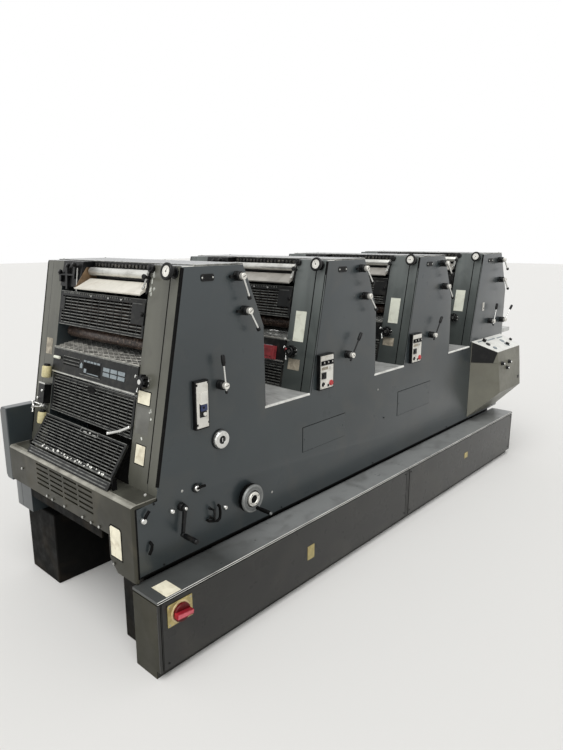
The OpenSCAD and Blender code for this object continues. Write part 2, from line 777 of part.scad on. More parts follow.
// Each dial stands off its tower on a neck with a round foot
module tower_dials() color("#181818") in_place() at_every_unit() {
    z = tower_top_z - dial_drop;
    stud_on_front(dial_y, z, dial_foot_t, dial_foot_d);
    stud_on_front(dial_y, z, dial_reach, dial_neck_d);
    on_front(dial_y, z) translate([dial_t - dial_reach, 0, 0]) rotate([0, -90, 0])
        cylinder(h = dial_t, d = dial_d);
}

console_x = last_unit * unit_pitch + console_inset;
console_low_z = console_back_z - console_h;

console_end_x = console_x + console_skew + console_front_l;
console_front_z = console_back_z - console_fall;

// The front of the console and the pod is one slanted plane: its reach at one height
function console_front(z) = -console_reach - (console_front_z - z) * (pod_reach - console_reach)
    / (console_front_z - pod_front_z);

// Plan of the console or the pod, with its oblique end drawn in by some length
module console_plan(inset) polygon([
    [console_x + inset, 0], [console_x + console_skew + inset, -pod_reach],
    [console_end_x, -pod_reach], [console_end_x, 0]
]);

module control_console() color("gainsboro") in_place() intersection() {
    linear_extrude(console_back_z) console_plan(0);
    lengthwise(console_x, console_end_x, [
        [console_front(console_low_z), console_low_z], [0, console_low_z],
        [0, console_back_z], [-console_reach, console_front_z]
    ]);
}

pod_inset = 4;
pod_knob_d = 26;
pod_back_z = housing_bottom_z + pod_back_rise;
// Places of the pod's knobs: distance past the console's slanted end, and below the console
pod_knob_places = [[30, 18], [146, 16], [122, 56]];
pod_knob_root = 20;

module control_pod() color("dimgray") in_place() {
    intersection() {
        linear_extrude(console_low_z) console_plan(pod_inset);
        lengthwise(console_x, console_end_x, [
            [-pod_reach, pod_front_z], [0, pod_back_z], [0, console_low_z],
            [console_front(console_low_z), console_low_z]
        ]);
    }
    // Three knobs on the front of the pod
    for (p = pod_knob_places) translate([console_x + console_skew + p[0], 0, console_low_z - p[1]])
        rotate([90, 0, 0]) translate([0, 0, console_reach - pod_knob_root])
            cylinder(h = pod_knob_reach - console_reach + pod_knob_root, d = pod_knob_d);
}

feed_t = 30;
feed_inset = 47.5;
gusset_t = 15;
gusset_h = 110;
gusset_setback = 60;
rail_d = 20;
rail_block = 30;
rail_first = 70;
rail_last = 50;

// Feed table past the last tower, on two gussets, with its bars between end blocks
module feed_table() color("gray") in_place() {
    translate([press_l, feed_inset, feed_z - feed_t])
        cube([feed_l, back_y - 2 * feed_inset, feed_t]);
    for (y = [2 * feed_inset, drive_y + rail_block]) across(y, y + gusset_t, [
        [press_l, feed_z - feed_t - gusset_h], [press_l + feed_l - gusset_setback, feed_z - feed_t],
        [press_l, feed_z - feed_t]
    ]);
    for (x = [press_l + rail_first, press_l + feed_l - rail_last]) {
        for (y = [operator_wall - rail_block, drive_y]) translate([x - rail_block / 2, y, feed_z])
            cube([rail_block, rail_block, rail_block]);
        bar_across(x, feed_z + rail_block / 2, operator_wall, drive_y, rail_d);
    }
}

switch_disc_t = 14;
switch_bar_w = 22;
switch_bar_l = 32;

module main_switch_knob() color("firebrick") in_place()
    translate([switch_x + switch_plate_w / 2, -step_reach - switch_plate_t - running_gap,
        switch_z + switch_plate_h / 2]) rotate([90, 0, 0]) {
        cylinder(h = switch_disc_t, d = switch_knob_d);
        translate([-switch_knob_d / 2, -switch_bar_w / 2, 0])
            cube([switch_knob_d, switch_bar_w, switch_bar_l]);
    }

operator_lower_housing();
operator_tower_casings();
drive_lower_housing();
drive_tower_casings();
bed();
base_sills();
drive_gear_cover();
end_panel();
step_boxes();
well_floor_plates();
tower_top_covers();
tower_rear_covers();
ink_trays();
duct_brackets();
ink_rollers();
printing_cylinders();
display_beams();
fixed_plate_guards();
switch_panels();
control_console();
control_pod();
feed_table();
lever_barrels();
face_fittings();
column_fittings();
tower_dials();
ink_duct_roller_1();
ink_duct_roller_2();
ink_duct_roller_3();
ink_duct_roller_4();
upper_guard_1();
upper_guard_2();
upper_guard_3();
upper_guard_4();
plate_guard_1();
low_guard();
impression_lever_1();
impression_lever_2();
impression_lever_3();
impression_lever_4();
upper_roller_lever_1();
upper_roller_lever_2();
upper_roller_lever_3();
upper_roller_lever_4();
lower_roller_lever_1();
lower_roller_lever_2();
lower_roller_lever_3();
lower_roller_lever_4();
feed_lever();
hand_crank();
handwheel();
main_switch_knob();
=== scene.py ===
"""Four-unit offset printing press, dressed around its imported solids."""
import math
import bmesh
import bpy
from mathutils import Matrix, Vector


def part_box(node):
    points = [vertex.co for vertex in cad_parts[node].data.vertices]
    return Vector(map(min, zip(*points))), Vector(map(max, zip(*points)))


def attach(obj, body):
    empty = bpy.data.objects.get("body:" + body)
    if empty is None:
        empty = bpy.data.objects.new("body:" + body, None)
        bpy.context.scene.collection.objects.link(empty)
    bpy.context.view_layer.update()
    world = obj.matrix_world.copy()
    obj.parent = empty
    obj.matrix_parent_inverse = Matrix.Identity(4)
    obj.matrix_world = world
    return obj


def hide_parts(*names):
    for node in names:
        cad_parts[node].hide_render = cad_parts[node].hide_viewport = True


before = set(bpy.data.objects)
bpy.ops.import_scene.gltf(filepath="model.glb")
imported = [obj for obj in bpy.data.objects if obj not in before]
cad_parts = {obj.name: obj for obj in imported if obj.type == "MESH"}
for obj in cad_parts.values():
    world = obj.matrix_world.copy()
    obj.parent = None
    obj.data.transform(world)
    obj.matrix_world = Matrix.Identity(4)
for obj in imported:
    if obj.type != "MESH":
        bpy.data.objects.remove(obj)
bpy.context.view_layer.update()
scene = bpy.context.scene

# Studio: the camera stands at the inking end, a little in front of the operator side.
# A plain pale floor lies under a white room, with one soft lamp above and two weak ones.
SENSOR = 36
FOCAL_PIXELS = 592
PICTURE_HEIGHT = 750
SCREEN_GAMMA = 2.2
ROOM_LIGHT = 0.5
FLOOR_REACH = 40
camera_data = bpy.data.cameras.new("camera")
camera_data.lens = FOCAL_PIXELS / PICTURE_HEIGHT * SENSOR
camera_data.sensor_width = SENSOR
camera_data.clip_end = 200
camera = bpy.data.objects.new("camera", camera_data)
scene.collection.objects.link(camera)
scene.camera = camera
eye = Vector((-2.9185, -2.209, 1.620))
ahead = Vector((0.7233, 0.6536, -0.2229)).normalized()
right = ahead.cross(Vector((0, 0, 1))).normalized()
above = right.cross(ahead)
camera.matrix_world = Matrix((
    (right.x, above.x, -ahead.x, eye.x), (right.y, above.y, -ahead.y, eye.y),
    (right.z, above.z, -ahead.z, eye.z), (0, 0, 0, 1)))
scene.view_settings.view_transform = "Standard"


def colour(red, green, blue):
    """A screen colour of 0 to 255 as the shader wants it"""
    return tuple((max(c, 1) / 255) ** SCREEN_GAMMA for c in (red, green, blue)) + (1,)


def add_lamp(name, towards, strength, spread):
    """A soft lamp far away: where it shines to, how bright it is, and its spread in degrees"""
    lamp = bpy.data.lights.new(name, "SUN")
    lamp.energy = strength
    lamp.angle = math.radians(spread)
    holder = bpy.data.objects.new(name, lamp)
    holder.rotation_euler = Vector(towards).to_track_quat("-Z", "Y").to_euler()
    scene.collection.objects.link(holder)


add_lamp("lamp_above", (0.45, 0.25, -1), 1.7, 50)
add_lamp("lamp_inking_end", (1, 0.35, -0.35), 0.55, 70)
add_lamp("lamp_operator_side", (0.1, 1, -0.3), 0.35, 90)

room = bpy.data.worlds.new("room")
scene.world = room
room.use_nodes = True
room_nodes = room.node_tree.nodes
room_links = room.node_tree.links
rays = room_nodes.new("ShaderNodeLightPath")
seen = rays.outputs["Is Camera Ray"]
for kind in ("Is Glossy Ray", "Is Transmission Ray"):
    either = room_nodes.new("ShaderNodeMath")
    either.operation = "ADD"
    room_links.new(seen, either.inputs[0])
    room_links.new(rays.outputs[kind], either.inputs[1])
    seen = either.outputs[0]
level = room_nodes.new("ShaderNodeMapRange")
level.inputs["To Min"].default_value = ROOM_LIGHT
level.inputs["To Max"].default_value = 1.0
room_links.new(seen, level.inputs["Value"])
room_links.new(level.outputs[0], room_nodes["Background"].inputs["Strength"])
room_nodes["Background"].inputs["Color"].default_value = (1, 1, 1, 1)

floor_mesh = bpy.data.meshes.new("floor")
corners = [(x * FLOOR_REACH, y * FLOOR_REACH, 0) for x, y in ((-1, -1), (1, -1), (1, 1), (-1, 1))]
floor_mesh.from_pydata(corners, [], [(0, 1, 2, 3)])
floor = bpy.data.objects.new("floor", floor_mesh)
scene.collection.objects.link(floor)
floor_finish = bpy.data.materials.new("pale_floor")
floor_finish.use_nodes = True
floor_shader = floor_finish.node_tree.nodes["Principled BSDF"]
floor_shader.inputs["Base Color"].default_value = colour(226, 225, 222)
floor_shader.inputs["Roughness"].default_value = 0.9
floor_mesh.materials.append(floor_finish)

# Casings: two long box-section walls of folded steel sheet carry the four towers. Each is
# sprayed in one dark enamel, and the fronts of the towers show the joint of two sheets. The
# sloping tower fronts are drawn in lighter copies of that enamel as painted light, and on
# units 2 to 4 they darken towards the bottom as painted shade.
# Lengths are in millimetres from the inking end, the operator face and the floor.
ORIGIN = Vector((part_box("drive_gear_cover")[0].x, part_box("operator_lower_housing")[0].y, 0))
TO_FRAME = Matrix.Translation(ORIGIN) @ Matrix.Scale(0.001, 4)
UNITS = range(4)
PITCH = 875
PRESS_L = 3335
BACK_Y = 1020
DRIVE_Y = 864
WALL_Y = 190
CASING_X = 14
CASING_LOW = 356
CASING_TOP = 1525
TOP_BACK_X = 589.8
SHOULDER = 1257
WELL = 889
BACK_X = 710
FOOT_X = 113
FOOT_Z = 693
LEDGE_UNDER = 646
SLOPE = math.atan2(162, 836)
EDGE_ROUND = 7


def front_x(z):
    """Distance of the sloping front of a tower from the inking end of its unit"""
    return FOOT_X + (z - FOOT_Z) * math.tan(SLOPE)


def closed(bm, start, end, paint=0):
    """A closed solid between two outlines in space that have the same number of points"""
    ends = [[bm.verts.new(point) for point in outline] for outline in (start, end)]
    faces = [bm.faces.new(ring) for ring in ends]
    for i in range(len(start)):
        j = (i + 1) % len(start)
        faces.append(bm.faces.new((ends[0][i], ends[0][j], ends[1][j], ends[1][i])))
    for face in faces:
        face.material_index = paint
    return faces


def slab(bm, outline, low, high, along="y", paint=0, turn=None):
    """A closed plate: an outline in the other two directions, drawn out along one axis"""
    spots = {"x": lambda a, b, t: (t, a, b), "y": lambda a, b, t: (a, t, b),
             "z": lambda a, b, t: (a, b, t)}
    start, end = ([spots[along](a, b, t) for a, b in outline] for t in (low, high))
    faces = closed(bm, start, end, paint)
    if turn:
        bmesh.ops.transform(bm, matrix=turn, verts=[vert for face in faces[:2] for vert in face.verts])
    return faces


def finish(name, tone, rough=0.45, metallic=0.0, mottle=0.12, patch=3.0, grain=260, bump=0.08,
           dirt=(48, 44, 38), dirty=0.25, dirt_scale=9.0, streak=(1, 1, 1), coat=0.0, shine=0.5,
           tone_ramp=None):
    """A painted, moulded or bare surface with uneven tone, grime, grain and changing gloss. A tone
    ramp gives an axis, where along it the tone starts and ends its change, and the tone that it reaches."""
    uneven = (0.3, 0.7)
    grimy = (0.5, 0.78)
    most_ramp = 0.85
    made = bpy.data.materials.new(name)
    made.use_nodes = True
    nodes, links = made.node_tree.nodes, made.node_tree.links
    shader = nodes["Principled BSDF"]
    for socket, value in (("Metallic", metallic), ("Specular IOR Level", shine), ("Coat Weight", coat),
                          ("Coat Roughness", 0.3)):
        shader.inputs[socket].default_value = value
    where = nodes.new("ShaderNodeTexCoord")
    stretch = nodes.new("ShaderNodeMapping")
    stretch.inputs["Scale"].default_value = streak
    links.new(where.outputs["Object"], stretch.inputs["Vector"])

    def noise(scale, detail, warp, stretched):
        field = nodes.new("ShaderNodeTexNoise")
        for socket, value in (("Scale", scale), ("Detail", detail), ("Distortion", warp)):
            field.inputs[socket].default_value = value
        source = stretch.outputs["Vector"] if stretched else where.outputs["Object"]
        links.new(source, field.inputs["Vector"])
        return field.outputs["Fac"]

    def mixed(factor, first, second):
        mix = nodes.new("ShaderNodeMix")
        mix.data_type = "RGBA"
        links.new(factor, mix.inputs["Factor"])
        for socket, value in ((6, first), (7, second)):
            if isinstance(value, tuple):
                mix.inputs[socket].default_value = value
            else:
                links.new(value, mix.inputs[socket])
        return mix.outputs[2]

    def ranged(value, span, to_low, to_high):
        step = nodes.new("ShaderNodeMapRange")
        for socket, number in (("From Min", span[0]), ("From Max", span[1]), ("To Min", to_low),
                               ("To Max", to_high)):
            step.inputs[socket].default_value = number
        links.new(value, step.inputs["Value"])
        return step.outputs[0]

    base = colour(*tone)
    darker = tuple(c * (1 - 2 * mottle) for c in base[:3]) + (1,)
    lighter = tuple(min(c * (1 + 2 * mottle), 1) for c in base[:3]) + (1,)
    shade = mixed(ranged(noise(patch, 6, 0.4, True), uneven, 0, 1), darker, lighter)
    if tone_ramp:
        axis, start, end, other = tone_ramp
        split = nodes.new("ShaderNodeSeparateXYZ")
        links.new(where.outputs["Object"], split.inputs[0])
        shade = mixed(ranged(split.outputs[axis], (start, end), 0, most_ramp), shade, colour(*other))
    grime = ranged(noise(dirt_scale, 9, 0.8, False), grimy, 0, dirty)
    links.new(mixed(grime, shade, colour(*dirt)), shader.inputs["Base Color"])
    links.new(ranged(noise(patch * 6, 4, 0, True), uneven, rough * 0.8, min(rough * 1.2, 1)),
              shader.inputs["Roughness"])
    relief = nodes.new("ShaderNodeBump")
    relief.inputs["Strength"].default_value = bump
    relief.inputs["Distance"].default_value = 0.001
    links.new(noise(grain, 3, 0, True), relief.inputs["Height"])
    links.new(relief.outputs["Normal"], shader.inputs["Normal"])
    return made


ENAMEL = finish("dark_enamel", (51, 57, 59), 0.34, mottle=0.08, patch=1.6, bump=0.05,
                dirt=(76, 74, 67), dirty=0.35, dirt_scale=5, coat=1.0, shine=0.05)
# Painted light: the first tower's slope has the same enamel as the casing, drawn lighter because it catches
# more light.
PAINTED_LIT_COLUMN_ENAMEL = finish("column_enamel_painted_light", (88, 88, 80), 0.36, mottle=0.08, patch=3, bump=0.05,
                       dirt=(60, 60, 56), dirty=0.5, dirt_scale=7, streak=(1, 3, 0.5))
# Painted light and shade: the slopes of units 2 to 4 are drawn lighter than the casing enamel, and the tone
# ramp darkens them towards the bottom as painted shade from the neighbouring towers.
LIT_AND_SHADED_COLUMN_ENAMEL = finish("cool_column_enamel_painted_light_and_shade", (100, 105, 103), 0.36, mottle=0.1, patch=3, bump=0.05,
                     dirt=(50, 54, 54), dirty=0.5, dirt_scale=7, streak=(1, 5, 0.5),
                     tone_ramp=("Z", 1.45, 0.95, (56, 60, 58)))
# Pale edge finish: partly wear, partly a painted highlight on edges that turn up to the light.
WORN_AND_HIGHLIT_ENAMEL = finish("wear_and_painted_highlight_edge", (178, 178, 172), 0.4, 0.2, mottle=0.25, patch=22,
                     dirt=(84, 84, 80), dirty=0.8, dirt_scale=18)
# Near black for real black parts, and also for painted shade: dark strips, gaps and fills that stand in for
# shade or dark reflection.
NEAR_BLACK_AND_SHADE = finish("near_black_and_painted_shade", (10, 10, 10), 0.6, mottle=0.15, patch=30,
                    dirt=(34, 32, 30), dirty=0.5, dirt_scale=30, shine=0.1)


def piece(name, shape, finishes, body="press", slot="grey_enamel", replaces=(), bevel=0.0, steps=2,
          edge=-1, sharp=34):
    """Turns a mesh in millimetres into a finished piece that rides on its body"""
    if isinstance(shape, bmesh.types.BMesh):
        bmesh.ops.recalc_face_normals(shape, faces=shape.faces)
        mesh = bpy.data.meshes.new(name)
        shape.to_mesh(mesh)
        shape.free()
        mesh.transform(TO_FRAME)
    else:
        mesh = shape
        mesh.name = name
    for paint in finishes:
        mesh.materials.append(paint)
    mesh.shade_smooth()
    mesh.set_sharp_from_angle(angle=math.radians(sharp))
    made = bpy.data.objects.new(name, mesh)
    scene.collection.objects.link(made)
    if bevel:
        rounding = made.modifiers.new("rounding", "BEVEL")
        rounding.width = bevel / 1000
        rounding.segments = steps
        rounding.limit_method = "ANGLE"
        rounding.angle_limit = math.radians(sharp)
        rounding.harden_normals = True
        rounding.material = edge
    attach(made, body)
    if replaces:
        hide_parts(*([replaces] if isinstance(replaces, str) else replaces))
    return made


def casing_outline():
    """The casing from the side, with the towers' slopes, tops and backs and the wells between"""
    outline = [(CASING_X, CASING_LOW), (PRESS_L, CASING_LOW)]
    for unit in reversed(UNITS):
        x = unit * PITCH
        if unit < UNITS[-1]:
            outline.append((x + BACK_X, WELL))
        outline += [(x + BACK_X, SHOULDER), (x + TOP_BACK_X, CASING_TOP),
                    (x + front_x(CASING_TOP), CASING_TOP)]
        if unit:
            outline.append((x + front_x(WELL), WELL))
    return outline + [(FOOT_X, FOOT_Z), (FOOT_X, LEDGE_UNDER), (CASING_X, LEDGE_UNDER)]


def casing(name, sheets, nodes):
    """One long casing of two sheets; its outer face has a rounded edge, pale on top from wear and a painted
    highlight
    """
    bm = bmesh.new()
    for low, high in sheets:
        slab(bm, casing_outline(), low, high)
    rim = [e for e in bm.edges if abs(e.verts[0].co.y - e.verts[1].co.y) < 0.01
           and e.verts[0].co.y in (0, BACK_Y)]
    rounded = bmesh.ops.bevel(bm, geom=rim, offset=EDGE_ROUND, segments=3, affect="EDGES", profile=0.5,
                              clamp_overlap=True)
    bmesh.ops.recalc_face_normals(bm, faces=bm.faces)
    # Upward rounded faces of the outer edge take the pale edge finish: partly wear, partly a painted
    # highlight.
    for face in rounded["faces"]:
        if face.normal.z > 0.35 and face.calc_center_median().z > WELL - 20:
            face.material_index = 1
    # The tower slopes take lighter copies of the enamel as painted light. The first tower has one copy; the
    # other towers have one that also darkens towards the bottom as painted shade.
    for face in bm.faces:
        middle = face.calc_center_median()
        if face.normal.x < -0.9 and middle.z > LEDGE_UNDER + EDGE_ROUND * 2:
            face.material_index = 2 if middle.x < PITCH - 200 else 3
    return piece(name, bm, [ENAMEL, WORN_AND_HIGHLIT_ENAMEL, PAINTED_LIT_COLUMN_ENAMEL, LIT_AND_SHADED_COLUMN_ENAMEL], replaces=nodes,
                 bevel=1.6, sharp=36)


casing("operator_casing", [(0, 58.6), (59.4, WALL_Y - 0.1)],
       ("operator_lower_housing", "operator_tower_casings"))
casing("drive_casing", [(DRIVE_Y + 0.1, 960.6), (961.4, BACK_Y)],
       ("drive_lower_housing", "drive_tower_casings"))

# Corner strips: a black strip wraps the rounded corner where each tower front meets the operator
# face, and a thin one runs along the far casing's corner, both painted dark reflection of the
# glossy rounded corner. A narrow black strip up each tower front marks the joint of the casing's two
# sheets.
STRIP_TOP = 1519


def block(bm, low, high, paint=0, turn=None):
    """A closed box between two corners"""
    (x0, y0, z0), (x1, y1, z1) = low, high
    return slab(bm, [(x0, y0), (x1, y0), (x1, y1), (x0, y1)], z0, z1, "z", paint, turn)


def on_front(unit, y, z, out=0):
    """A place on a sloping tower front: local X to the operator side, Y up the slope, Z out"""
    up = Vector((math.sin(SLOPE), 0, math.cos(SLOPE)))
    normal = Vector((-math.cos(SLOPE), 0, math.sin(SLOPE)))
    spot = Vector((unit * PITCH + front_x(z), y, z)) + normal * out
    return Matrix(((0, up.x, normal.x, spot.x), (-1, 0, 0, spot.y), (0, up.z, normal.z, spot.z),
                   (0, 0, 0, 1)))


bm = bmesh.new()
for unit in UNITS:
    low = WELL + 4.5 if unit else FOOT_Z + 7
    middle = (low + STRIP_TOP) / 2
    reach = (STRIP_TOP - low) / 2 / math.cos(SLOPE)
    leg = 7.5 if unit else 9.5
    slab(bm, [(-leg, 0.5), (-7, 0.5), (-3.2, -0.5), (-0.5, -3.2), (0.5, -7), (0.5, -leg), (-3, -leg),
              (-3, -7), (-7, -3), (-leg, -3)], -reach, reach, "y", 0, on_front(unit, 0, middle))
    block(bm, (-2, -reach, -3), (2, reach, 0.8), 0, on_front(unit, 61, middle))
    block(bm, (-3, -reach, -3), (3, reach, 1.2), 0, on_front(unit, 1012, middle))
# Painted dark reflection up the rounded corner by the end panel, and painted shadow along the foot of the
# operator face above the step.
block(bm, (11, -0.8, CASING_LOW + 2), (18, 3, LEDGE_UNDER - 1))
block(bm, (20, -0.8, CASING_LOW + 2), (PRESS_L - 500, 3, CASING_LOW + 8))
piece("column_edge_seals", bm, [NEAR_BLACK_AND_SHADE], slot="black_plastic", bevel=0.8)

# Access panels: flat sheets let into the operator face under the second and third unit,
# seen only by the thin shadow round them and the two slotted screws that hold each.
def turned(bm, profile, turn, sides=32, paint=0):
    """A lathe-turned piece: radius and height pairs, about the local Z of its place. Paint is
    one number, or a number for each step of the profile."""
    paints = [paint] * (len(profile) - 1) if isinstance(paint, int) else paint
    rings = []
    for radius, height in profile:
        count = sides if radius > 0.001 else 1
        rings.append([bm.verts.new(turn @ Vector((
            radius * math.cos(math.tau * i / sides), radius * math.sin(math.tau * i / sides), height)))
            for i in range(count)])
    for ring, tone in ((rings[0], paints[0]), (rings[-1], paints[-1])):
        if len(ring) > 1:
            bm.faces.new(ring).material_index = tone
    for lower, upper, tone in zip(rings, rings[1:], paints):
        for i in range(sides):
            j = (i + 1) % sides
            corners = [lower[i % len(lower)], lower[j % len(lower)],
                       upper[j % len(upper)], upper[i % len(upper)]]
            corners = [c for n, c in enumerate(corners) if c not in corners[:n]]
            if len(corners) > 2:
                bm.faces.new(corners).material_index = tone


def spun(degrees, axis="Z"):
    """A turn about one axis"""
    return Matrix.Rotation(math.radians(degrees), 4, axis)


def on_face(x, z, out=0):
    """A place on the operator face: local X along the press, Y up, Z out of the face"""
    return Matrix.Translation((x, -out, z)) @ spun(90, "X")


bm = bmesh.new()
for x0, x1, z0, z1 in ((975, 1318, 608, 731), (1845, 2232, 599, 743)):
    block(bm, (x0 - 3.6, -0.4, z0 - 2), (x1 + 2, 0.5, z1 + 3), 1)
    block(bm, (x0, -1.6, z0), (x1, 0.5, z1))
    for x in (x0 + 16, x1 - 16):
        turned(bm, [(5, 1.2), (5, 2.6), (3.5, 3.4), (0, 3.4)], on_face(x, (z0 + z1) / 2), 14)
piece("access_panels", bm, [ENAMEL, NEAR_BLACK_AND_SHADE], bevel=0.3)

# Air vents: a rounded black plug near the top of each tower on the operator face, with four
# slots pressed in and a bright rivet at each end.
BLACK_PLASTIC = finish("black_plastic", (15, 16, 17), 0.36, mottle=0.2, patch=30, grain=420, bump=0.1,
                       dirt=(50, 48, 45), dirty=0.35, dirt_scale=40, shine=0.25)
# Bright metal for rivets, and also for painted highlights on the low guard's pull and along the beams'
# lower lips.
RIVET_AND_HIGHLIGHT = finish("rivet_and_painted_highlight", (196, 196, 190), 0.3, 0.8, mottle=0.1, patch=40)
VENT_Z = 1478
VENT_ROUND = 9
bm = bmesh.new()
for unit in UNITS:
    x = unit * PITCH + 394
    outline = []
    for side, level, start in ((1, 1, 0), (-1, 1, 90), (-1, -1, 180), (1, -1, 270)):
        for angle in range(start, start + 91, 18):
            outline.append((x + side * 24 + VENT_ROUND * math.cos(math.radians(angle)),
                            VENT_Z + level * 5 + VENT_ROUND * math.sin(math.radians(angle))))
    slab(bm, outline, -3, 1)
    for row in range(4):
        z = 1470 + row * 5.4
        block(bm, (x - 20, -3.4, z), (x + 20, -2.6, z + 1.6), 2)
    for side in (-27, 27):
        turned(bm, [(4, 2.6), (4, 3.6), (2.5, 4.6), (0, 4.6)], on_face(x + side, VENT_Z), 16, 1)
piece("air_vents", bm, [BLACK_PLASTIC, RIVET_AND_HIGHLIGHT, NEAR_BLACK_AND_SHADE], slot="black_plastic", bevel=0.5)

# Bed and sills: a cast bed closes the space between the casings, and two welded steel
# sills carry the whole press on the floor.
# Drawn darker than the paint itself, as painted shade for the dark spaces under and inside the press.
DARK_PAINT_AND_SHADE = finish("bed_paint", (18, 18, 17), 0.65, mottle=0.25, patch=4, dirt=(48, 42, 34), dirty=0.6,
                    dirt_scale=6, shine=0.1)
WELD = 0.00002


def refined(node, name, finishes, body="press", slot="grey_enamel", bevel=1.5, ledge=None, sunk=0,
            **more):
    """A copy of a solid with clean faces and rounded edges; a ledge has its own finishes, and
    the far face can be sunk by some metres to leave room for what stands on it"""
    bm = bmesh.new()
    bm.from_mesh(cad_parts[node].data)
    bmesh.ops.remove_doubles(bm, verts=bm.verts, dist=WELD)
    bmesh.ops.dissolve_limit(bm, angle_limit=math.radians(0.5), verts=bm.verts, edges=bm.edges)
    far = max(vert.co.y for vert in bm.verts) - 0.0001
    for vert in bm.verts:
        if vert.co.y > far:
            vert.co.y -= sunk
    mesh = bpy.data.meshes.new(name)
    bm.to_mesh(mesh)
    bm.free()
    # Faces above the ledge take the fourth finish and upward faces just under it the third; on the end
    # cover these are painted shade and a pale edge of wear with a painted highlight.
    for face in mesh.polygons:
        face.material_index = 0
        if ledge and face.center.z > ledge:
            face.material_index = 3
        elif ledge and face.normal.z > 0.2 and face.center.z > ledge - 0.015:
            face.material_index = 2
    return piece(name, mesh, finishes, body, slot, node, bevel, **more)


refined("bed", "bed_casting", [DARK_PAINT_AND_SHADE], slot="bed_paint", bevel=3)
refined("base_sills", "sill_beams", [DARK_PAINT_AND_SHADE], slot="bed_paint", bevel=6, steps=3)

# Screws and bolts: black socket screws hold the casings, and hexagon bolts hold the drive
# casing to the sills. One tree sets a turned head on every place where one is driven in.
SCREW = [(4.5, -0.5), (4.5, 1.2), (3.2, 2.4), (0, 2.8)]
BOLT = [(9, -0.5), (9, 1), (7.6, 1), (7.6, 6), (6.8, 6.8), (0, 6.8)]


def wired(tree, kind, **settings):
    """A node with its plain settings and sockets filled in"""
    node = tree.nodes.new(kind)
    for key, value in settings.items():
        if hasattr(node, key):
            setattr(node, key, value)
        else:
            node.inputs[key.replace("_", " ")].default_value = value
    return node


def linked(tree, *rows):
    """Joins nodes: each row names a node and its output, then a node and its input"""
    for source, output, target, entry in rows:
        tree.links.new(source.outputs[output], target.inputs[entry])


def new_tree(name, sockets):
    """An empty tree with its named inputs, and the nodes where it starts and ends"""
    tree = bpy.data.node_groups.new(name, "GeometryNodeTree")
    tree.interface.new_socket("Geometry", in_out="INPUT", socket_type="NodeSocketGeometry")
    for label, kind in sockets:
        tree.interface.new_socket(label, in_out="INPUT", socket_type="NodeSocket" + kind)
    tree.interface.new_socket("Paint", in_out="INPUT", socket_type="NodeSocketMaterial")
    tree.interface.new_socket("Geometry", in_out="OUTPUT", socket_type="NodeSocketGeometry")
    return tree, tree.nodes.new("NodeGroupInput"), tree.nodes.new("NodeGroupOutput")


def ended(tree, given, result, last, output):
    """Ends a tree: what it made becomes real faces, in the material of its Paint input"""
    solid = wired(tree, "GeometryNodeRealizeInstances")
    coat = wired(tree, "GeometryNodeSetMaterial")
    linked(tree, (last, output, solid, "Geometry"), (solid, "Geometry", coat, "Geometry"),
           (given, "Paint", coat, "Material"), (coat, "Geometry", result, "Geometry"))
    return tree


def fastener_tree():
    """Sets one turned head on every point, aimed along the point's stored direction"""
    tree, given, result = new_tree("fasteners", [("Head", "Object")])
    head = wired(tree, "GeometryNodeObjectInfo")
    aim = wired(tree, "GeometryNodeInputNamedAttribute", data_type="FLOAT_VECTOR", Name="aim")
    turn = wired(tree, "FunctionNodeAlignRotationToVector", axis="Z")
    copies = wired(tree, "GeometryNodeInstanceOnPoints")
    linked(tree, (given, "Head", head, "Object"), (aim, "Attribute", turn, "Vector"),
           (given, "Geometry", copies, "Points"), (head, "Geometry", copies, "Instance"),
           (turn, "Rotation", copies, "Rotation"))
    return ended(tree, given, result, copies, "Instances")


def baked(tree, mesh, **values):
    """The plain mesh, in millimetres, that a tree makes from its host with the named inputs"""
    host = bpy.data.objects.new("host", mesh)
    scene.collection.objects.link(host)
    maker = host.modifiers.new("maker", "NODES")
    maker.node_group = tree
    for item in tree.interface.items_tree:
        if item.in_out == "INPUT" and item.name in values:
            maker[item.identifier] = values[item.name]
    bpy.context.view_layer.update()
    found = host.evaluated_get(bpy.context.evaluated_depsgraph_get())
    made = bpy.data.meshes.new_from_object(found)
    host.modifiers.remove(maker)
    bpy.data.objects.remove(host)
    return made


FASTENERS = fastener_tree()


def fasteners(name, spots, profile, paint, body="press", slot="lever_steel", sides=12):
    """Rows of like screws, bolts or studs: each spot is a place and the way it points"""
    bm = bmesh.new()
    turned(bm, profile, Matrix.Identity(4), sides)
    bmesh.ops.recalc_face_normals(bm, faces=bm.faces)
    head_mesh = bpy.data.meshes.new("head")
    bm.to_mesh(head_mesh)
    bm.free()
    head = bpy.data.objects.new("head", head_mesh)
    scene.collection.objects.link(head)
    points = bpy.data.meshes.new("spots")
    points.from_pydata([spot for spot, aim in spots], [], [])
    aims = points.attributes.new("aim", "FLOAT_VECTOR", "POINT")
    aims.data.foreach_set("vector", [value for spot, aim in spots for value in aim])
    mesh = baked(FASTENERS, points, Head=head, Paint=paint)
    bpy.data.objects.remove(head)
    mesh.transform(TO_FRAME)
    return piece(name, mesh, [], body, slot)


front_screws = [((x, -1.2, z), (0, -1, 0)) for x, z in (
    (96, 640), (130, 372), (820, 372), (1600, 372), (1700, 620), (2500, 372), (3250, 372))]
fasteners("casing_screws", front_screws, SCREW, BLACK_PLASTIC, slot="black_plastic")
fasteners("sill_bolts", [((x, BACK_Y, z), (0, 1, 0)) for x in range(160, 3300, 330) for z in (70, 290)],
          BOLT, DARK_PAINT_AND_SHADE, slot="bed_paint", sides=6)

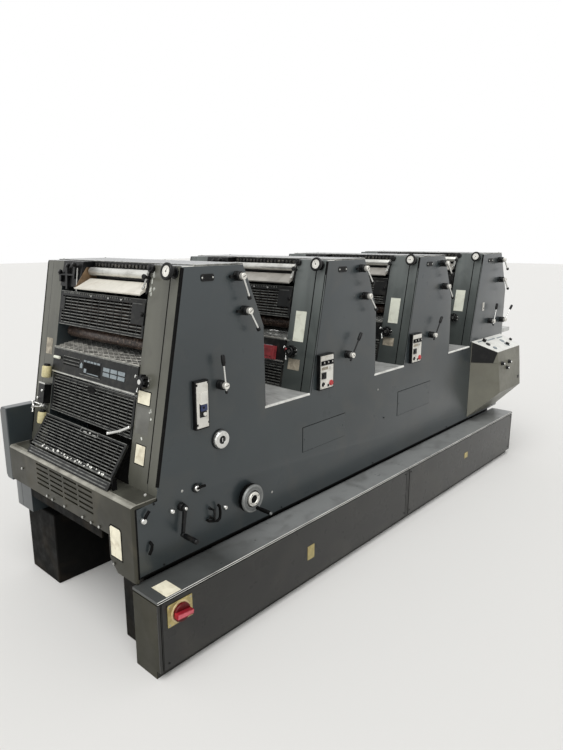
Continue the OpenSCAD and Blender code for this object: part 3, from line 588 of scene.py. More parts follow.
# Gear cover: one long folded tray over the gear train on the drive side, screwed on along
# both edges, with four louvred hatches. Each hatch has a finger pull and four quarter-turn studs.
STEEL = finish("bright_steel", (176, 176, 172), 0.3, 0.9, mottle=0.12, patch=14, grain=500, bump=0.04,
               dirt=(60, 54, 46), dirty=0.55, dirt_scale=34)
COVER_FACE = 1086


def aimed(towards, place=(0, 0, 0)):
    """A place whose local Z points in the given direction"""
    return Matrix.Translation(place) @ Vector(towards).to_track_quat("Z", "Y").to_matrix().to_4x4()


refined("drive_gear_cover", "gear_cover", [ENAMEL], bevel=5, steps=3, sunk=0.0018)
bm = bmesh.new()
for unit in UNITS:
    x = unit * 832 + 60
    block(bm, (x - 4, COVER_FACE, 516), (x + 704, COVER_FACE + 2.6, 804), 2)
    block(bm, (x, COVER_FACE, 520), (x + 700, COVER_FACE + 3.6, 800))
    block(bm, (x + 36, COVER_FACE + 3, 630), (x + 56, COVER_FACE + 3.9, 690), 1)
    block(bm, (x + 40, COVER_FACE + 3, 636), (x + 52, COVER_FACE + 4, 684), 2)
    for row in range(9):
        z = 560 + row * 24
        block(bm, (x + 470, COVER_FACE + 3, z), (x + 660, COVER_FACE + 3.8, z + 6), 2)
        block(bm, (x + 470, COVER_FACE + 3, z + 6), (x + 660, COVER_FACE + 4, z + 10), 0)
    for stud_x in (x + 16, x + 684):
        for stud_z in (536, 784):
            turned(bm, [(7, 0), (7, 0.8), (5, 1), (0, 1)],
                   aimed((0, 1, 0), (stud_x, COVER_FACE + 3, stud_z)), 18, 3)
piece("gear_cover_hatches", bm, [ENAMEL, BLACK_PLASTIC, NEAR_BLACK_AND_SHADE, STEEL], bevel=0.3)
cover_screws = [((x, 1071, z), (0, 0.9, tip)) for x in range(60, 3320, 200) for z, tip in (
    (483, -0.4), (835, 0.4))]
fasteners("gear_cover_screws", cover_screws, [(4, -3), (4, 0), (2.4, 1.2), (0, 1.4)], STEEL)

# End panel: a folded sheet closes the inking end, with four blocks of ventilation slots and
# an open bay below. Each slot has a pressed hood. The ledge on top has a pale rounded front,
# partly rubbed bright and partly a painted highlight, and faces above the ledge are drawn near
# black as painted shade.
END_ENAMEL = finish("end_enamel", (55, 54, 46), 0.42, mottle=0.12, patch=2.4, dirt=(92, 86, 72),
                    dirty=0.45, dirt_scale=5, shine=0.3)
# Pale ledge edge: partly wear, partly a painted highlight on the rounded front that turns up to the light.
LEDGE_WEAR_AND_HIGHLIGHT = finish("rubbed_and_highlit_ledge", (150, 148, 138), 0.4, 0.1, mottle=0.25, patch=7, dirt=(84, 82, 74),
               dirty=0.7, dirt_scale=8)
LEDGE_PLATE = finish("ledge_top", (70, 70, 63), 0.42, mottle=0.25, patch=7, dirt=(56, 54, 48), dirty=0.8,
                     dirt_scale=8)
LEDGE_Z = 660.6
refined("end_panel", "end_cover", [END_ENAMEL, WORN_AND_HIGHLIT_ENAMEL, LEDGE_WEAR_AND_HIGHLIGHT, NEAR_BLACK_AND_SHADE], bevel=1.2,
        ledge=0.6604)
bm = bmesh.new()
for x, y0, y1 in ((26, 8, 189.5), (30, 190.5, 863.5), (26, 864.5, 1012)):
    block(bm, (x, y0, LEDGE_Z - 1), (112.6, y1, LEDGE_Z))
piece("ledge_wear_strip", bm, [LEDGE_PLATE], bevel=0.4)


def bars_tree():
    """A row of like bars: each is a box, tilted about its length, and the row steps evenly"""
    tree, given, result = new_tree("bars", [
        ("Bar size", "Vector"), ("Tilt", "Float"), ("Count", "Int"), ("First", "Vector"),
        ("Step", "Vector")])
    bar = wired(tree, "GeometryNodeMeshCube")
    tilt = wired(tree, "ShaderNodeCombineXYZ")
    turn = wired(tree, "GeometryNodeTransform")
    row = wired(tree, "GeometryNodeMeshLine", mode="OFFSET")
    copies = wired(tree, "GeometryNodeInstanceOnPoints")
    linked(tree, (given, "Bar size", bar, "Size"), (given, "Tilt", tilt, "Y"),
           (bar, "Mesh", turn, "Geometry"), (tilt, "Vector", turn, "Rotation"),
           (given, "Count", row, "Count"), (given, "First", row, "Start Location"),
           (given, "Step", row, "Offset"), (row, "Mesh", copies, "Points"),
           (turn, "Geometry", copies, "Instance"))
    return ended(tree, given, result, copies, "Instances")


BARS = bars_tree()


def bars(name, size, tilt, count, first, step, paint, place=None, body="press", slot="guard_black",
         bevel=0.8):
    """Slats, hoods or ribs in an even row, set down at a place in millimetres"""
    values = {"Bar size": size, "Tilt": math.radians(tilt), "Count": count, "First": first,
              "Step": step, "Paint": paint}
    mesh = baked(BARS, bpy.data.meshes.new("none"), **values)
    if place:
        mesh.transform(place)
    mesh.transform(TO_FRAME)
    return piece(name, mesh, [], body, slot, bevel=bevel)


for column in range(4):
    bars(f"end_hoods_{column + 1}", (7, 107, 2.6), 48, 5, (2.4, 334 + column * 122, 639.5),
         (0, 0, -23), END_ENAMEL, slot="grey_enamel", bevel=0.4)

# Bay under the end panel: a ceiling sheet with the ends of four shafts, a row of pulls along
# the edge of the panel above it, and a bare cream label on a black backing.
LABEL = finish("cream_label", (234, 228, 204), 0.5, mottle=0.06, patch=20, grain=200, bump=0.02,
               dirt=(150, 130, 96), dirty=0.5, dirt_scale=25)
PULL = [(3.4, 0), (3.4, 1.5), (5.5, 1.5), (6.4, 3), (6.4, 6), (4.4, 7.6), (0, 7.6)]
bm = bmesh.new()
slab(bm, [(88, 409), (161, 409), (161, 529), (153, 537), (96, 537), (88, 529)], -1.8, 0.3, "x", 0)
slab(bm, [(82, 402), (167, 402), (167, 532), (156, 543), (93, 543), (82, 532)], -0.9, 0.2, "x", 1)
piece("end_label", bm, [LABEL, NEAR_BLACK_AND_SHADE], slot="black_plastic", bevel=0.3)
bay_pulls = [((-0.5, y, z), (-1, 0, 0)) for y, z in (
    (894, 575), (664, 506), (615, 503), (509, 505), (361, 504), (295, 502), (236, 503), (144, 376))]
fasteners("bay_edge_knobs", bay_pulls, PULL, STEEL)
bm = bmesh.new()
block(bm, (14, 174, 476), (120, 1004, 482))
block(bm, (14, 250, 440), (24, 860, 476))
for y in (330, 480, 640, 800):
    turned(bm, [(16, 0), (16, 240), (13, 246), (0, 246)], aimed((1, 0, 0), (60, y, 450)), 20)
piece("bay_ceiling", bm, [DARK_PAINT_AND_SHADE], slot="bed_paint", bevel=2)

# Step boxes: two long folded boxes stand in front of the operator face as a walkway. A lid
# with a turned-down lip closes each, with a shadow gap above the front panel.
STEP_ENAMEL = finish("step_enamel", (36, 36, 34), 0.3, mottle=0.12, patch=2.2, dirt=(66, 64, 57),
                     dirty=0.4, dirt_scale=4, coat=0.6, shine=0.1)
RUBBED_LIP = finish("rubbed_lip", (228, 228, 222), 0.4, mottle=0.12, patch=8, dirt=(120, 118, 112),
                    dirty=0.5, dirt_scale=10)
STEP_END = finish("step_end_enamel", (46, 45, 36), 0.42, mottle=0.12, patch=2.4, dirt=(74, 70, 56),
                  dirty=0.4, dirt_scale=5, shine=0.2)
# The lid turns to a much lighter grey between about 350 and 650 mm from the inking end and stays so to the
# far end.
STEP_LID = finish("lid_lighter_towards_far_end", (74, 76, 75), 0.34, mottle=0.16, patch=3, dirt=(66, 66, 63), dirty=0.6,
                  dirt_scale=7, tone_ramp=("X", -1.44, -1.14, (138, 140, 139)))
STEP_FRONT = -145
KICK = 34
LID_LOW = 324
bm = bmesh.new()
for x0, x1 in ((-11, 1757), (1759, 3300)):
    slab(bm, [(-140, KICK), (-140, 320), (12, 320), (12, 0), (-118, 0), (-118, KICK)],
         x0 + 4, x1 - 4, "x")
    block(bm, (x0 + 14, STEP_FRONT + 0.4, 37), (x1 - 14, -139, 319))
    for x in (x0, x1 - 11):
        block(bm, (x, STEP_FRONT + 1.5, 35), (x + 11, -137, 318))
    for x in (x0, x1 - 4.5):
        slab(bm, [(-137, KICK), (-137, 318), (12, 318), (12, 0), (-119, 0), (-119, KICK)],
             x, x + 4.5, "x", 5)
    block(bm, (x0, STEP_FRONT + 0.4, LID_LOW), (x1, 13, 335.6), 1)
    for low, high, paint in ((LID_LOW, 327, 4), (327, 332, 3), (332, 335.4, 4)):
        block(bm, (x0 + 0.5, STEP_FRONT, low), (x1 - 0.5, -142, high), paint)
    for x in (x0 + 16, x1 - 19):
        block(bm, (x, STEP_FRONT, 37), (x + 3, -143, 319), 3)
for x in (220, 1538, 1978, 3080):
    block(bm, (x - 20, 13, 176), (x + 20, 40, 236))
piece("step_walkway", bm, [STEP_ENAMEL, STEP_LID, WORN_AND_HIGHLIT_ENAMEL, NEAR_BLACK_AND_SHADE, RUBBED_LIP, STEP_END],
      replaces="step_boxes", bevel=2, sharp=50)

# Plates and screws of the step: a cream label on the lid and two small yellow plates on the
# fronts, all bare aluminium that is glued on, and black screws at the ends of each box.
YELLOW = finish("yellow_plate", (166, 152, 100), 0.45, mottle=0.14, patch=24, dirt=(110, 88, 50),
                dirty=0.6, dirt_scale=30)
bm = bmesh.new()
block(bm, (34, -140, 335.2), (102, -47, 336.4))
piece("step_label", bm, [LABEL], slot="black_plastic", bevel=0.3)
bm = bmesh.new()
block(bm, (844, STEP_FRONT - 1, 136), (894, STEP_FRONT + 0.4, 206))
block(bm, (2500, STEP_FRONT - 1, 180), (2546, STEP_FRONT + 0.4, 218))
piece("small_yellow_plates", bm, [YELLOW], slot="switch_red", bevel=0.3)
step_screws = [((x, STEP_FRONT, z), (0, -1, 0)) for x in (30, 1730, 1790, 3270) for z in (60, 300)]
step_screws += [((-8.2, y, z), (-1, 0, 0)) for y in (-125, 0) for z in (60, 300)]
fasteners("step_screws", step_screws, SCREW, BLACK_PLASTIC)

# Well plates and covers: loose sheet covers lie on the casings between the towers and on
# the tower tops, rubbed to bright steel where hands and tools rest.
WELL_PLATE = finish("worn_plate", (186, 187, 184), 0.4, 0.3, mottle=0.1, patch=9, dirt=(104, 102, 96),
                    dirty=0.5, dirt_scale=12, streak=(3, 1, 1))
MIDDLE_Y = (WALL_Y + DRIVE_Y) / 2
refined("well_floor_plates", "well_covers", [WELL_PLATE, WORN_AND_HIGHLIT_ENAMEL], slot="worn_plate", bevel=1.2,
        edge=1)
refined("tower_top_covers", "top_covers", [ENAMEL, WORN_AND_HIGHLIT_ENAMEL], bevel=1.4, edge=1)
refined("tower_rear_covers", "rear_covers", [ENAMEL], bevel=1.5)
bm = bmesh.new()
for unit in UNITS[:3]:
    x = unit * PITCH + BACK_X
    block(bm, (x + 1, -1, WELL - 3), (x + 315, 9, WELL + 7))
piece("well_lips", bm, [RUBBED_LIP], slot="worn_plate", bevel=1.5)
top_spots = [((unit * PITCH + x, y, 1529), (0, 0, 1)) for unit in UNITS for x in (345, 574)
             for y in (20, 500, 1000)]
fasteners("top_cover_screws", top_spots, SCREW, STEEL)
for unit in UNITS:
    bars(f"rear_hoods_{unit + 1}", (5, 550, 3), -40, 8, (unit * PITCH + BACK_X + 1.5, MIDDLE_Y, 1018.5),
         (0, 0, 26), ENAMEL, slot="grey_enamel", bevel=0.5)

# Printing cylinders: a plate and a blanket cylinder of ground steel in each unit, with
# raised bearer rings at both ends and a clamping gap along the body.
GROUND_STEEL = finish("ground_steel", (168, 170, 170), 0.25, 0.9, mottle=0.08, patch=5, grain=700,
                      bump=0.03, streak=(9, 1, 9), dirt=(64, 58, 52), dirty=0.5, dirt_scale=14)
INNER_LOW = WALL_Y + 0.2
INNER_HIGH = DRIVE_Y - 0.2
INNER_W = INNER_HIGH - INNER_LOW
CYLINDER = [(40, 0), (86, 0), (86, 26), (82, 28), (82, 34), (84.5, 36), (84.5, 638), (82, 640),
            (82, 645), (86, 648), (86, INNER_W), (40, INNER_W)]
bm = bmesh.new()
for unit in UNITS:
    for x in (unit * PITCH + 342, unit * PITCH + 517):
        turned(bm, CYLINDER, aimed((0, 1, 0), (x, INNER_LOW, 978)), 72)
        block(bm, (x - 9, 228, 1056), (x + 9, 826, 1063.5), 1)
piece("plate_and_blanket_cylinders", bm, [GROUND_STEEL, DARK_PAINT_AND_SHADE], slot="roller_steel",
      replaces="printing_cylinders", bevel=0.8)

# Inking rollers: steel cores with soft rubber covers, four to a unit behind the guards,
# with a film of old ink on them.
RUBBER = finish("ink_rubber", (44, 33, 28), 0.42, mottle=0.3, patch=12, grain=500, bump=0.08,
                dirt=(140, 122, 108), dirty=1.0, dirt_scale=110)
INK_ROLLER = [(11, 0), (11, 12), (26, 12), (28, 15), (28, 659), (26, 662), (11, 662), (11, INNER_W)]
bm = bmesh.new()
for unit in UNITS:
    for depth, height in ((72, 311), (129, 363), (56, 429), (123, 453)):
        z = WELL + height
        turned(bm, INK_ROLLER, aimed((0, 1, 0), (unit * PITCH + front_x(z) + depth, INNER_LOW, z)), 40)
piece("inking_rollers", bm, [RUBBER], slot="ink_rubber", replaces="ink_rollers", bevel=0.5)

# Ink duct: a steel roller turns against the blade bar, with a cream sheet tray under it.
# A row of ink keys along the bar sets the film, and a brown cheek closes the far end.
CREAM = finish("duct_cream", (218, 214, 202), 0.42, mottle=0.05, patch=6, bump=0.04,
               dirt=(132, 116, 92), dirty=0.4, dirt_scale=14)
GREY_TRAY = finish("grey_tray", (150, 147, 140), 0.42, mottle=0.1, patch=6, bump=0.04,
                   dirt=(96, 88, 76), dirty=0.5, dirt_scale=14)
BROWN = finish("stained_cheek", (104, 84, 62), 0.5, mottle=0.3, patch=16, dirt=(52, 42, 34), dirty=0.8,
               dirt_scale=30)
GUARD_BLACK = finish("guard_black", (26, 27, 27), 0.42, mottle=0.2, patch=12, dirt=(72, 70, 64),
                     dirty=0.45, dirt_scale=22, shine=0.25)
SATIN_STEEL = finish("satin_steel", (206, 206, 200), 0.36, 0.75, mottle=0.08, patch=6, grain=700,
                     bump=0.03, streak=(9, 1, 9), dirt=(96, 88, 76), dirty=0.35, dirt_scale=20)
KEY_BLACK = finish("ink_key_black", (44, 44, 42), 0.4, 0.3, mottle=0.3, patch=60,
                   dirt=(130, 124, 110), dirty=0.7, dirt_scale=60)
INK_KEY = [(4, 0), (4, 2), (7.5, 3), (8, 4), (8, 9), (7, 10), (0, 10)]
DUCT_ROLLER = [(9, 0), (9, 6), (17, 6), (18, 8), (18, 481), (17, 483), (9, 483), (9, 489.1)]
key_spots = []
bm = bmesh.new()
for unit in UNITS:
    x = unit * PITCH
    tray = 4 if unit else 0
    slab(bm, [(x + 218, 1408), (x + 221, 1407), (x + 300, 1447.5), (x + 300, 1451), (x + 219, 1412),
              (x + 216.5, 1415), (x + 214.5, 1414)], 200.5, 689.8, "y", tray)
    slab(bm, [(x + 218, 1409), (x + 300, 1449), (x + 300, 1459), (x + 226, 1423)], 200.2, 202.6, "y",
         tray)
    slab(bm, [(x + 219, 1409), (x + 331, 1449), (x + 331, 1499), (x + 286, 1499)], 690.1, 693.9, "y", 1)
    block(bm, (x + 331, INNER_LOW, 1452), (x + 371, INNER_HIGH, 1524.6), 2)
    block(bm, (x + 327, 212, 1474), (x + 331.2, 688, 1496), 3)
    key_spots += [((x + 331, 230 + 26 * key, 1510), (-1, 0, 0)) for key in range(18)]
piece("ink_ducts", bm, [CREAM, BROWN, GUARD_BLACK, STEEL, GREY_TRAY], slot="duct_cream",
      replaces="ink_trays", bevel=1)
fasteners("ink_keys", key_spots, INK_KEY, KEY_BLACK, slot="guard_black", sides=10)
for unit in UNITS:
    x = unit * PITCH + 305
    bm = bmesh.new()
    turned(bm, DUCT_ROLLER, aimed((0, 1, 0), (x, 200.4, 1482)), 40)
    block(bm, (x - 2, 200.6, 1490), (x + 2, 204, 1497), 1)
    piece(f"duct_roller_{unit + 1}", bm, [SATIN_STEEL, BLACK_PLASTIC], f"ink_duct_roller_{unit + 1}",
          "roller_steel", f"ink_duct_roller_{unit + 1}", 0.5)

# Duct brackets: black cast plates at both ends of the duct, with chrome release levers,
# a round clamp at the near end and two clawed arms at the far end.
refined("duct_brackets", "duct_plates", [BLACK_PLASTIC], slot="guard_black", bevel=2)
bm = bmesh.new()
for unit in UNITS:
    for y, z, out, long in ((182, 1512, 4, 74), (194, 1500, 2, 66)):
        turned(bm, [(2.6, -3), (3.6, 0), (3.6, 12), (2.4, 14), (2.4, long), (4.6, long + 3),
                    (4.6, long + 9), (0, long + 12)],
               on_front(unit, y, z, out) @ aimed((-0.18, -1, 0.12), (0, 0, 5)), 12, 1)
    turned(bm, [(16, 0), (17, 2), (17, 13), (14, 16), (7, 16), (7, 20), (0, 21)],
           on_front(unit, 176, 1510), 24)
    turned(bm, [(6, -4), (6, 30), (10, 31), (11, 36), (8, 40), (0, 40)],
           on_front(unit, 186, 1474, 4) @ aimed((0.3, 0, 1)), 16)
    for y, low, high, lean in ((852, 1430, 1476, 8), (788, 1398, 1506, 12), (736, 1446, 1512, 4)):
        long = high - low
        slab(bm, [(-7, 0), (7, 0), (9, long - 12), (2, long), (-9, long - 6)], 0, 12, "z", 0,
             on_front(unit, y, low, 6) @ spun(lean))
        turned(bm, [(9, 0), (11, 3), (11, 12), (7, 15), (0, 15)],
               on_front(unit, y, high - 6, 14) @ aimed((-0.2, 0.4, 1)), 18)
    block(bm, (-70, -4, 0), (70, 4, 9), 0, on_front(unit, 800, 1462, 10))
    block(bm, (-3, -60, 0), (3, 44, 5), 1, on_front(unit, 716, 1452, 8) @ spun(5.73))
piece("duct_levers", bm, [BLACK_PLASTIC, STEEL], slot="black_plastic", bevel=1)

# Guards: black sheet frames with pressed louvre slats close the front of each unit. The
# upper ones and the first plate guard hang on a pin, and the low one leans out on lugs.
# Pale black: rubbed rims and the darker mesh strands, and also painted highlights along slat edges, lips
# and rims.
WORN_BLACK_AND_HIGHLIGHT = finish("black_wear_and_painted_highlight", (112, 113, 109), 0.38, 0.3, mottle=0.3, patch=40, dirt=(34, 34, 34),
                    dirty=0.8, dirt_scale=30)
GUARD_W = 662
GUARD_DEEP = 12
PIN_R = 5
UPPER_TOP = 1392
UPPER_LOW = 1240
PLATE_GUARD_TOP = 1008


def guard_place(unit, top_z):
    """The middle of a guard's upper edge on a tower front"""
    return on_front(unit, MIDDLE_Y, top_z)


def guard(name, place, width, height, body, nodes=(), rows=8, top=14, base=8, rim=14):
    """A guard frame with its slats; local X runs across the press, Y up from the upper edge"""
    half = width / 2
    inside = half - rim + 1
    pitch = (height - top - base) / rows
    bm = bmesh.new()
    for x in (-half, half - rim):
        block(bm, (x, -height, -GUARD_DEEP), (x + rim, 0, 0), 0, place)
    block(bm, (-inside, -top, -GUARD_DEEP), (inside, 0, 0), 0, place)
    block(bm, (-inside, -height, -GUARD_DEEP), (inside, base - height, 0), 0, place)
    for low in (-height, -3):
        block(bm, (-half, low, -1), (half, low + 3, 1.5), 1, place)
    piece(name, bm, [GUARD_BLACK, WORN_BLACK_AND_HIGHLIGHT], body, "guard_black", nodes, 1.2)
    turn = place @ spun(90)
    long = width - 2 * rim
    first = -top - pitch / 2
    # The slats are drawn near black as painted shade between them, and a pale strip on each is a painted
    # highlight along its edge.
    bars(f"{name}_slats", (2.2, long, 11), -38, rows, (first, 0, -5), (-pitch, 0, 0), NEAR_BLACK_AND_SHADE,
         turn, body, bevel=0.5)
    bars(f"{name}_ribs", (height - top - base, 3, 3), 0, 11,
         (-(height + top - base) / 2, 32 - long / 2, -1), (0, 58, 0), GUARD_BLACK, turn, body, bevel=0.4)
    bars(f"{name}_slat_edges", (pitch * 0.3, long - 1, 1.8), 0, rows, (first - pitch * 0.2, 0, -1.2),
         (-pitch, 0, 0), WORN_BLACK_AND_HIGHLIGHT, turn, body, bevel=0.4)


def guard_pin(bm, place, long, drop=8):
    """The pin that a guard swings on, across the press near one of the guard's edges"""
    turned(bm, [(PIN_R, 0), (PIN_R, long)], place @ aimed((1, 0, 0), (-long / 2, -drop, -6)), 16)


def studs(name, places, normal, profile, paint, body, slot="lever_steel", sides=12):
    """Rivets or screws of a guard, all of them pointing out of its face"""
    fasteners(name, [(spot, normal) for spot in places], profile, paint, body, slot, sides)


for unit in UNITS:
    body = f"upper_guard_{unit + 1}"
    place = guard_place(unit, UPPER_TOP)
    normal = place.to_3x3() @ Vector((0, 0, 1))
    guard(f"upper_slat_guard_{unit + 1}", place, GUARD_W, (UPPER_TOP - UPPER_LOW) / math.cos(SLOPE),
          body, body, 9, top=22)
    bm = bmesh.new()
    block(bm, (243, -104, -1), (331, -16, 4), 0, place)
    turned(bm, [(9, 0), (9, 5), (7, 7), (7, 10), (0, 10)],
           place @ Matrix.Translation((318, -62, 4)), 20, 1)
    block(bm, (250, -22, 3.6), (312, -20, 4.6), 2, place)
    guard_pin(bm, place, GUARD_W + 7)
    block(bm, (-331, -84, -1), (-290, -26, 3), 0, place)
    piece(f"upper_guard_latch_{unit + 1}", bm, [GUARD_BLACK, BLACK_PLASTIC, WORN_BLACK_AND_HIGHLIGHT], body,
          "guard_black", bevel=0.8)
    studs(f"upper_guard_studs_{unit + 1}", [place @ Vector((x, -8, 0)) for x in range(-300, 240, 18)],
          normal, [(4, -1), (4, 1.6), (2, 2.4), (0, 2.4)], WORN_BLACK_AND_HIGHLIGHT, body, "guard_black", 8)
    studs(f"upper_guard_screws_{unit + 1}", [place @ Vector((x, -13, 0)) for x in (-71, 64, 160)],
          normal, [(5, -1), (5, 3), (3, 5), (0, 5)], STEEL, body)

# Plate guards: the first swings on its pin and has a bent chrome bar on two posts to lift it
# by. Those of the other units are low and stay shut, held between the casings.
CHROME = finish("chrome", (214, 214, 210), 0.16, 0.95, mottle=0.05, patch=20, grain=300, bump=0.02,
                dirt=(90, 84, 76), dirty=0.35, dirt_scale=40)
place = guard_place(0, PLATE_GUARD_TOP)
guard("plate_slat_guard_1", place, GUARD_W, 166 / math.cos(SLOPE), "plate_guard_1", "plate_guard_1",
      11, top=6)
bm = bmesh.new()
block(bm, (-26, -40, -2), (32, -14, 1.8), 2, place)
guard_pin(bm, place, INNER_W - 0.4)
for y0, z0, y1, z1 in ((338, 836, 250, 865), (257, 862, 194, 892)):
    start = on_front(0, y0, z0, 16).translation
    run = on_front(0, y1, z1, 14).translation - start
    turned(bm, [(5, 0), (7, 2), (7, run.length - 2), (5, run.length)], aimed(run, start), 14, 1)
for y, z, out in ((334, 838, 24), (253, 864, 22)):
    turned(bm, [(4, 0), (7, 2), (7, out - 2), (5, out), (0, out)], on_front(0, y, z), 16, 1)
piece("plate_guard_handle", bm, [GUARD_BLACK, CHROME, NEAR_BLACK_AND_SHADE], "plate_guard_1", "lever_steel",
      bevel=0.6)
for unit in UNITS[1:]:
    guard(f"fixed_slat_guard_{unit + 1}", guard_place(unit, PLATE_GUARD_TOP), INNER_W,
          115 / math.cos(SLOPE), "press", "fixed_plate_guards" if unit == 1 else (), 7, top=6)

# Low guard: it leans out over the ledge, with a pull set in a pale rim near its upper edge
# and drops of old varnish on its frame. The pull's recess is drawn near black as painted
# shade, with bright bits in it as painted highlights. A fixed apron with two ribs closes the gap below it.
low_lean = math.radians(34)
low_up = Vector((math.sin(low_lean), 0, math.cos(low_lean)))
low_out = Vector((-math.cos(low_lean), 0, math.sin(low_lean)))
low_spot = Vector((44, MIDDLE_Y, 700)) + low_up * 148 + low_out * 6
place = Matrix(((0, low_up.x, low_out.x, low_spot.x), (-1, 0, 0, low_spot.y),
                (0, low_up.z, low_out.z, low_spot.z), (0, 0, 0, 1)))
guard("low_slat_guard", place, GUARD_W, 148, "low_guard", "low_guard", 10, top=10)
bm = bmesh.new()
guard_pin(bm, place, INNER_W - 0.4, 148)
for x0, x1, y0, y1 in ((-12, 125, -6, -2), (-12, 125, -23, -19), (-12, -8, -23, -2), (121, 125, -23, -2)):
    block(bm, (x0, y0, -10), (x1, y1, 1.8), 0, place)
# The recess of the pull is painted shade, and the bright bits in it are painted highlights.
block(bm, (-8, -19, -GUARD_DEEP), (121, -6, 0.8), 1, place)
for x0, x1, y0, y1 in ((14, 40, -18, -14), (58, 70, -17, -10), (86, 112, -18, -15)):
    block(bm, (x0, y0, 0), (x1, y1, 1.7), 2, place)
piece("low_guard_handle", bm, [WORN_BLACK_AND_HIGHLIGHT, NEAR_BLACK_AND_SHADE, RIVET_AND_HIGHLIGHT], "low_guard", "guard_black", bevel=0.8)
bm = bmesh.new()
block(bm, (-INNER_W / 2, -195, -10), (INNER_W / 2, -160.5, -2), 0, place)
block(bm, (-INNER_W / 2, -164, -2), (INNER_W / 2, -161, 0), 1, place)
piece("low_apron", bm, [GUARD_BLACK, WORN_BLACK_AND_HIGHLIGHT], slot="guard_black", bevel=0.8)
bars("low_apron_slats", (4.6, 640, 1.6), 0, 2, (-174, 0, -1.8), (-13, 0, 0), WORN_BLACK_AND_HIGHLIGHT,
     place @ spun(90), bevel=0.4)
for size, first, step in ((6.5, -236, 47), (4, -215, 39)):
    drops = [place @ Vector((x + 9 * math.sin(x), -141 + 5 * math.sin(2.3 * x), 0))
             for x in range(first, 290, step)]
    studs(f"low_guard_studs_{step}", drops, low_out, [(size, -1), (size, 1.4), (size - 2, 3), (0, 3.4)],
          RIVET_AND_HIGHLIGHT, "low_guard", sides=10)

# Display beams: a closed box beam crosses each unit below the rollers, with a dark window,
# eight grey keys and four slots in its face. Pale lips run along its edges as wear and painted
# highlight, the brightest along its lower edge, and the box's top is drawn near black as painted shade.
BEAM_LOW = 1020
BEAM_TOP = 1128
BOX_TOP = 4
DISPLAY = finish("display_window", (16, 18, 20), 0.12, mottle=0.1, patch=8, bump=0, dirt=(40, 44, 46),
                 dirty=0.3, coat=0.5)
KEYS = finish("grey_keys", (130, 139, 143), 0.5, mottle=0.1, patch=30, dirt=(70, 76, 80), dirty=0.5,
              dirt_scale=50)
bm = bmesh.new()
for unit in UNITS:
    low_x, top_x = (unit * PITCH + front_x(z) - 6 for z in (BEAM_LOW, BEAM_TOP))
    section = [(low_x, BEAM_LOW), (low_x + 60, BEAM_LOW), (top_x + 60, 1139), (top_x, 1131)]
    # The top of the box is painted near black as painted shade under the mesh shelf.
    slab(bm, section, INNER_LOW, INNER_HIGH)[BOX_TOP].material_index = 5
    slab(bm, [(low_x - 3, BEAM_LOW - 1), (low_x + 5, BEAM_LOW - 1), (low_x + 6, BEAM_LOW + 7),
              (low_x - 1.6, BEAM_LOW + 7)], 192, 862, "y", 1)
    block(bm, (top_x - 1, 192, BEAM_TOP), (top_x + 6, 862, BEAM_TOP + 6), 1)
    face = on_front(unit, MIDDLE_Y, 1072, 6)
    for low, high, paint in (
            ((-70, -30, -1), (70, 36, 1.5), 2), ((-66, -26, 0.5), (66, 22, 2.4), 5),
            ((-60, -22, 2), (-40, -4, 2.7), 4), ((-34, -24, 2), (58, -20, 2.7), 4),
            ((-94, -34, 0.5), (72, -31, 2.4), 1)):
        block(bm, low, high, paint, face)
    for key in range(5):
        block(bm, (-66 + key * 27, 25, 0.5), (-45 + key * 27, 33, 2.6), 4, face)
    slab(bm, [(-94, -6), (-76, -6), (-76, 10), (-85, 18), (-94, 10)], 0, 3, "z", 4, face)
    for x in (92, 148, 204):
        for y in (6, -15):
            block(bm, (x, y, 0), (x + 47, y + 16, 3), 4, face)
    for y in (20, 5, -10):
        block(bm, (-243, y, -0.5), (-104, y + 8, 0.8), 5, face)
        block(bm, (-243, y + 8, -0.5), (-104, y + 10.5, 2.4), 1, face)
    # A bright lip along the lower front edge is a painted highlight.
    slab(bm, [(low_x - 5, BEAM_LOW + 1), (low_x - 1, BEAM_LOW + 1), (low_x, BEAM_LOW + 6),
              (low_x - 4, BEAM_LOW + 6)], 194, 860, "y", 6)
piece("beam_boxes", bm, [GUARD_BLACK, WORN_BLACK_AND_HIGHLIGHT, BLACK_PLASTIC, DISPLAY, KEYS, NEAR_BLACK_AND_SHADE, RIVET_AND_HIGHLIGHT],
      slot="guard_black", replaces="display_beams", bevel=0.8)
RED_CAP = finish("faded_red_cap", (140, 52, 56), 0.6, mottle=0.25, patch=20, dirt=(70, 34, 34), dirty=0.7,
                 dirt_scale=24)
bm = bmesh.new()
place = on_front(1, 285, 1058, 6)
block(bm, (-44, -34, 0), (40, 34, 22), 0, place)
block(bm, (-30, -20, 21), (26, 20, 25), 0, place)
turned(bm, [(9, 0), (9, 14), (7, 18), (0, 18)], on_front(1, 176, 1082), 18)
turned(bm, [(5, 0), (5, 22), (7, 24), (7, 30), (0, 31)], on_front(1, 180, 1126) @ aimed((0, 0.3, 1)), 14, 1)
piece("red_end_cap", bm, [RED_CAP, RIVET_AND_HIGHLIGHT], slot="switch_red", bevel=5, steps=3)

# Mesh shelves: expanded metal runs back from the top of each beam, on four bearers between
# two rails. The first unit's front strands are drawn bright and the rest dark.
SHELF_WIRE = finish("shelf_wire", (176, 174, 166), 0.4, 0.3, mottle=0.25, patch=30, dirt=(70, 66, 60),
                    dirty=0.7, dirt_scale=25)
STRAND_R = 1.8


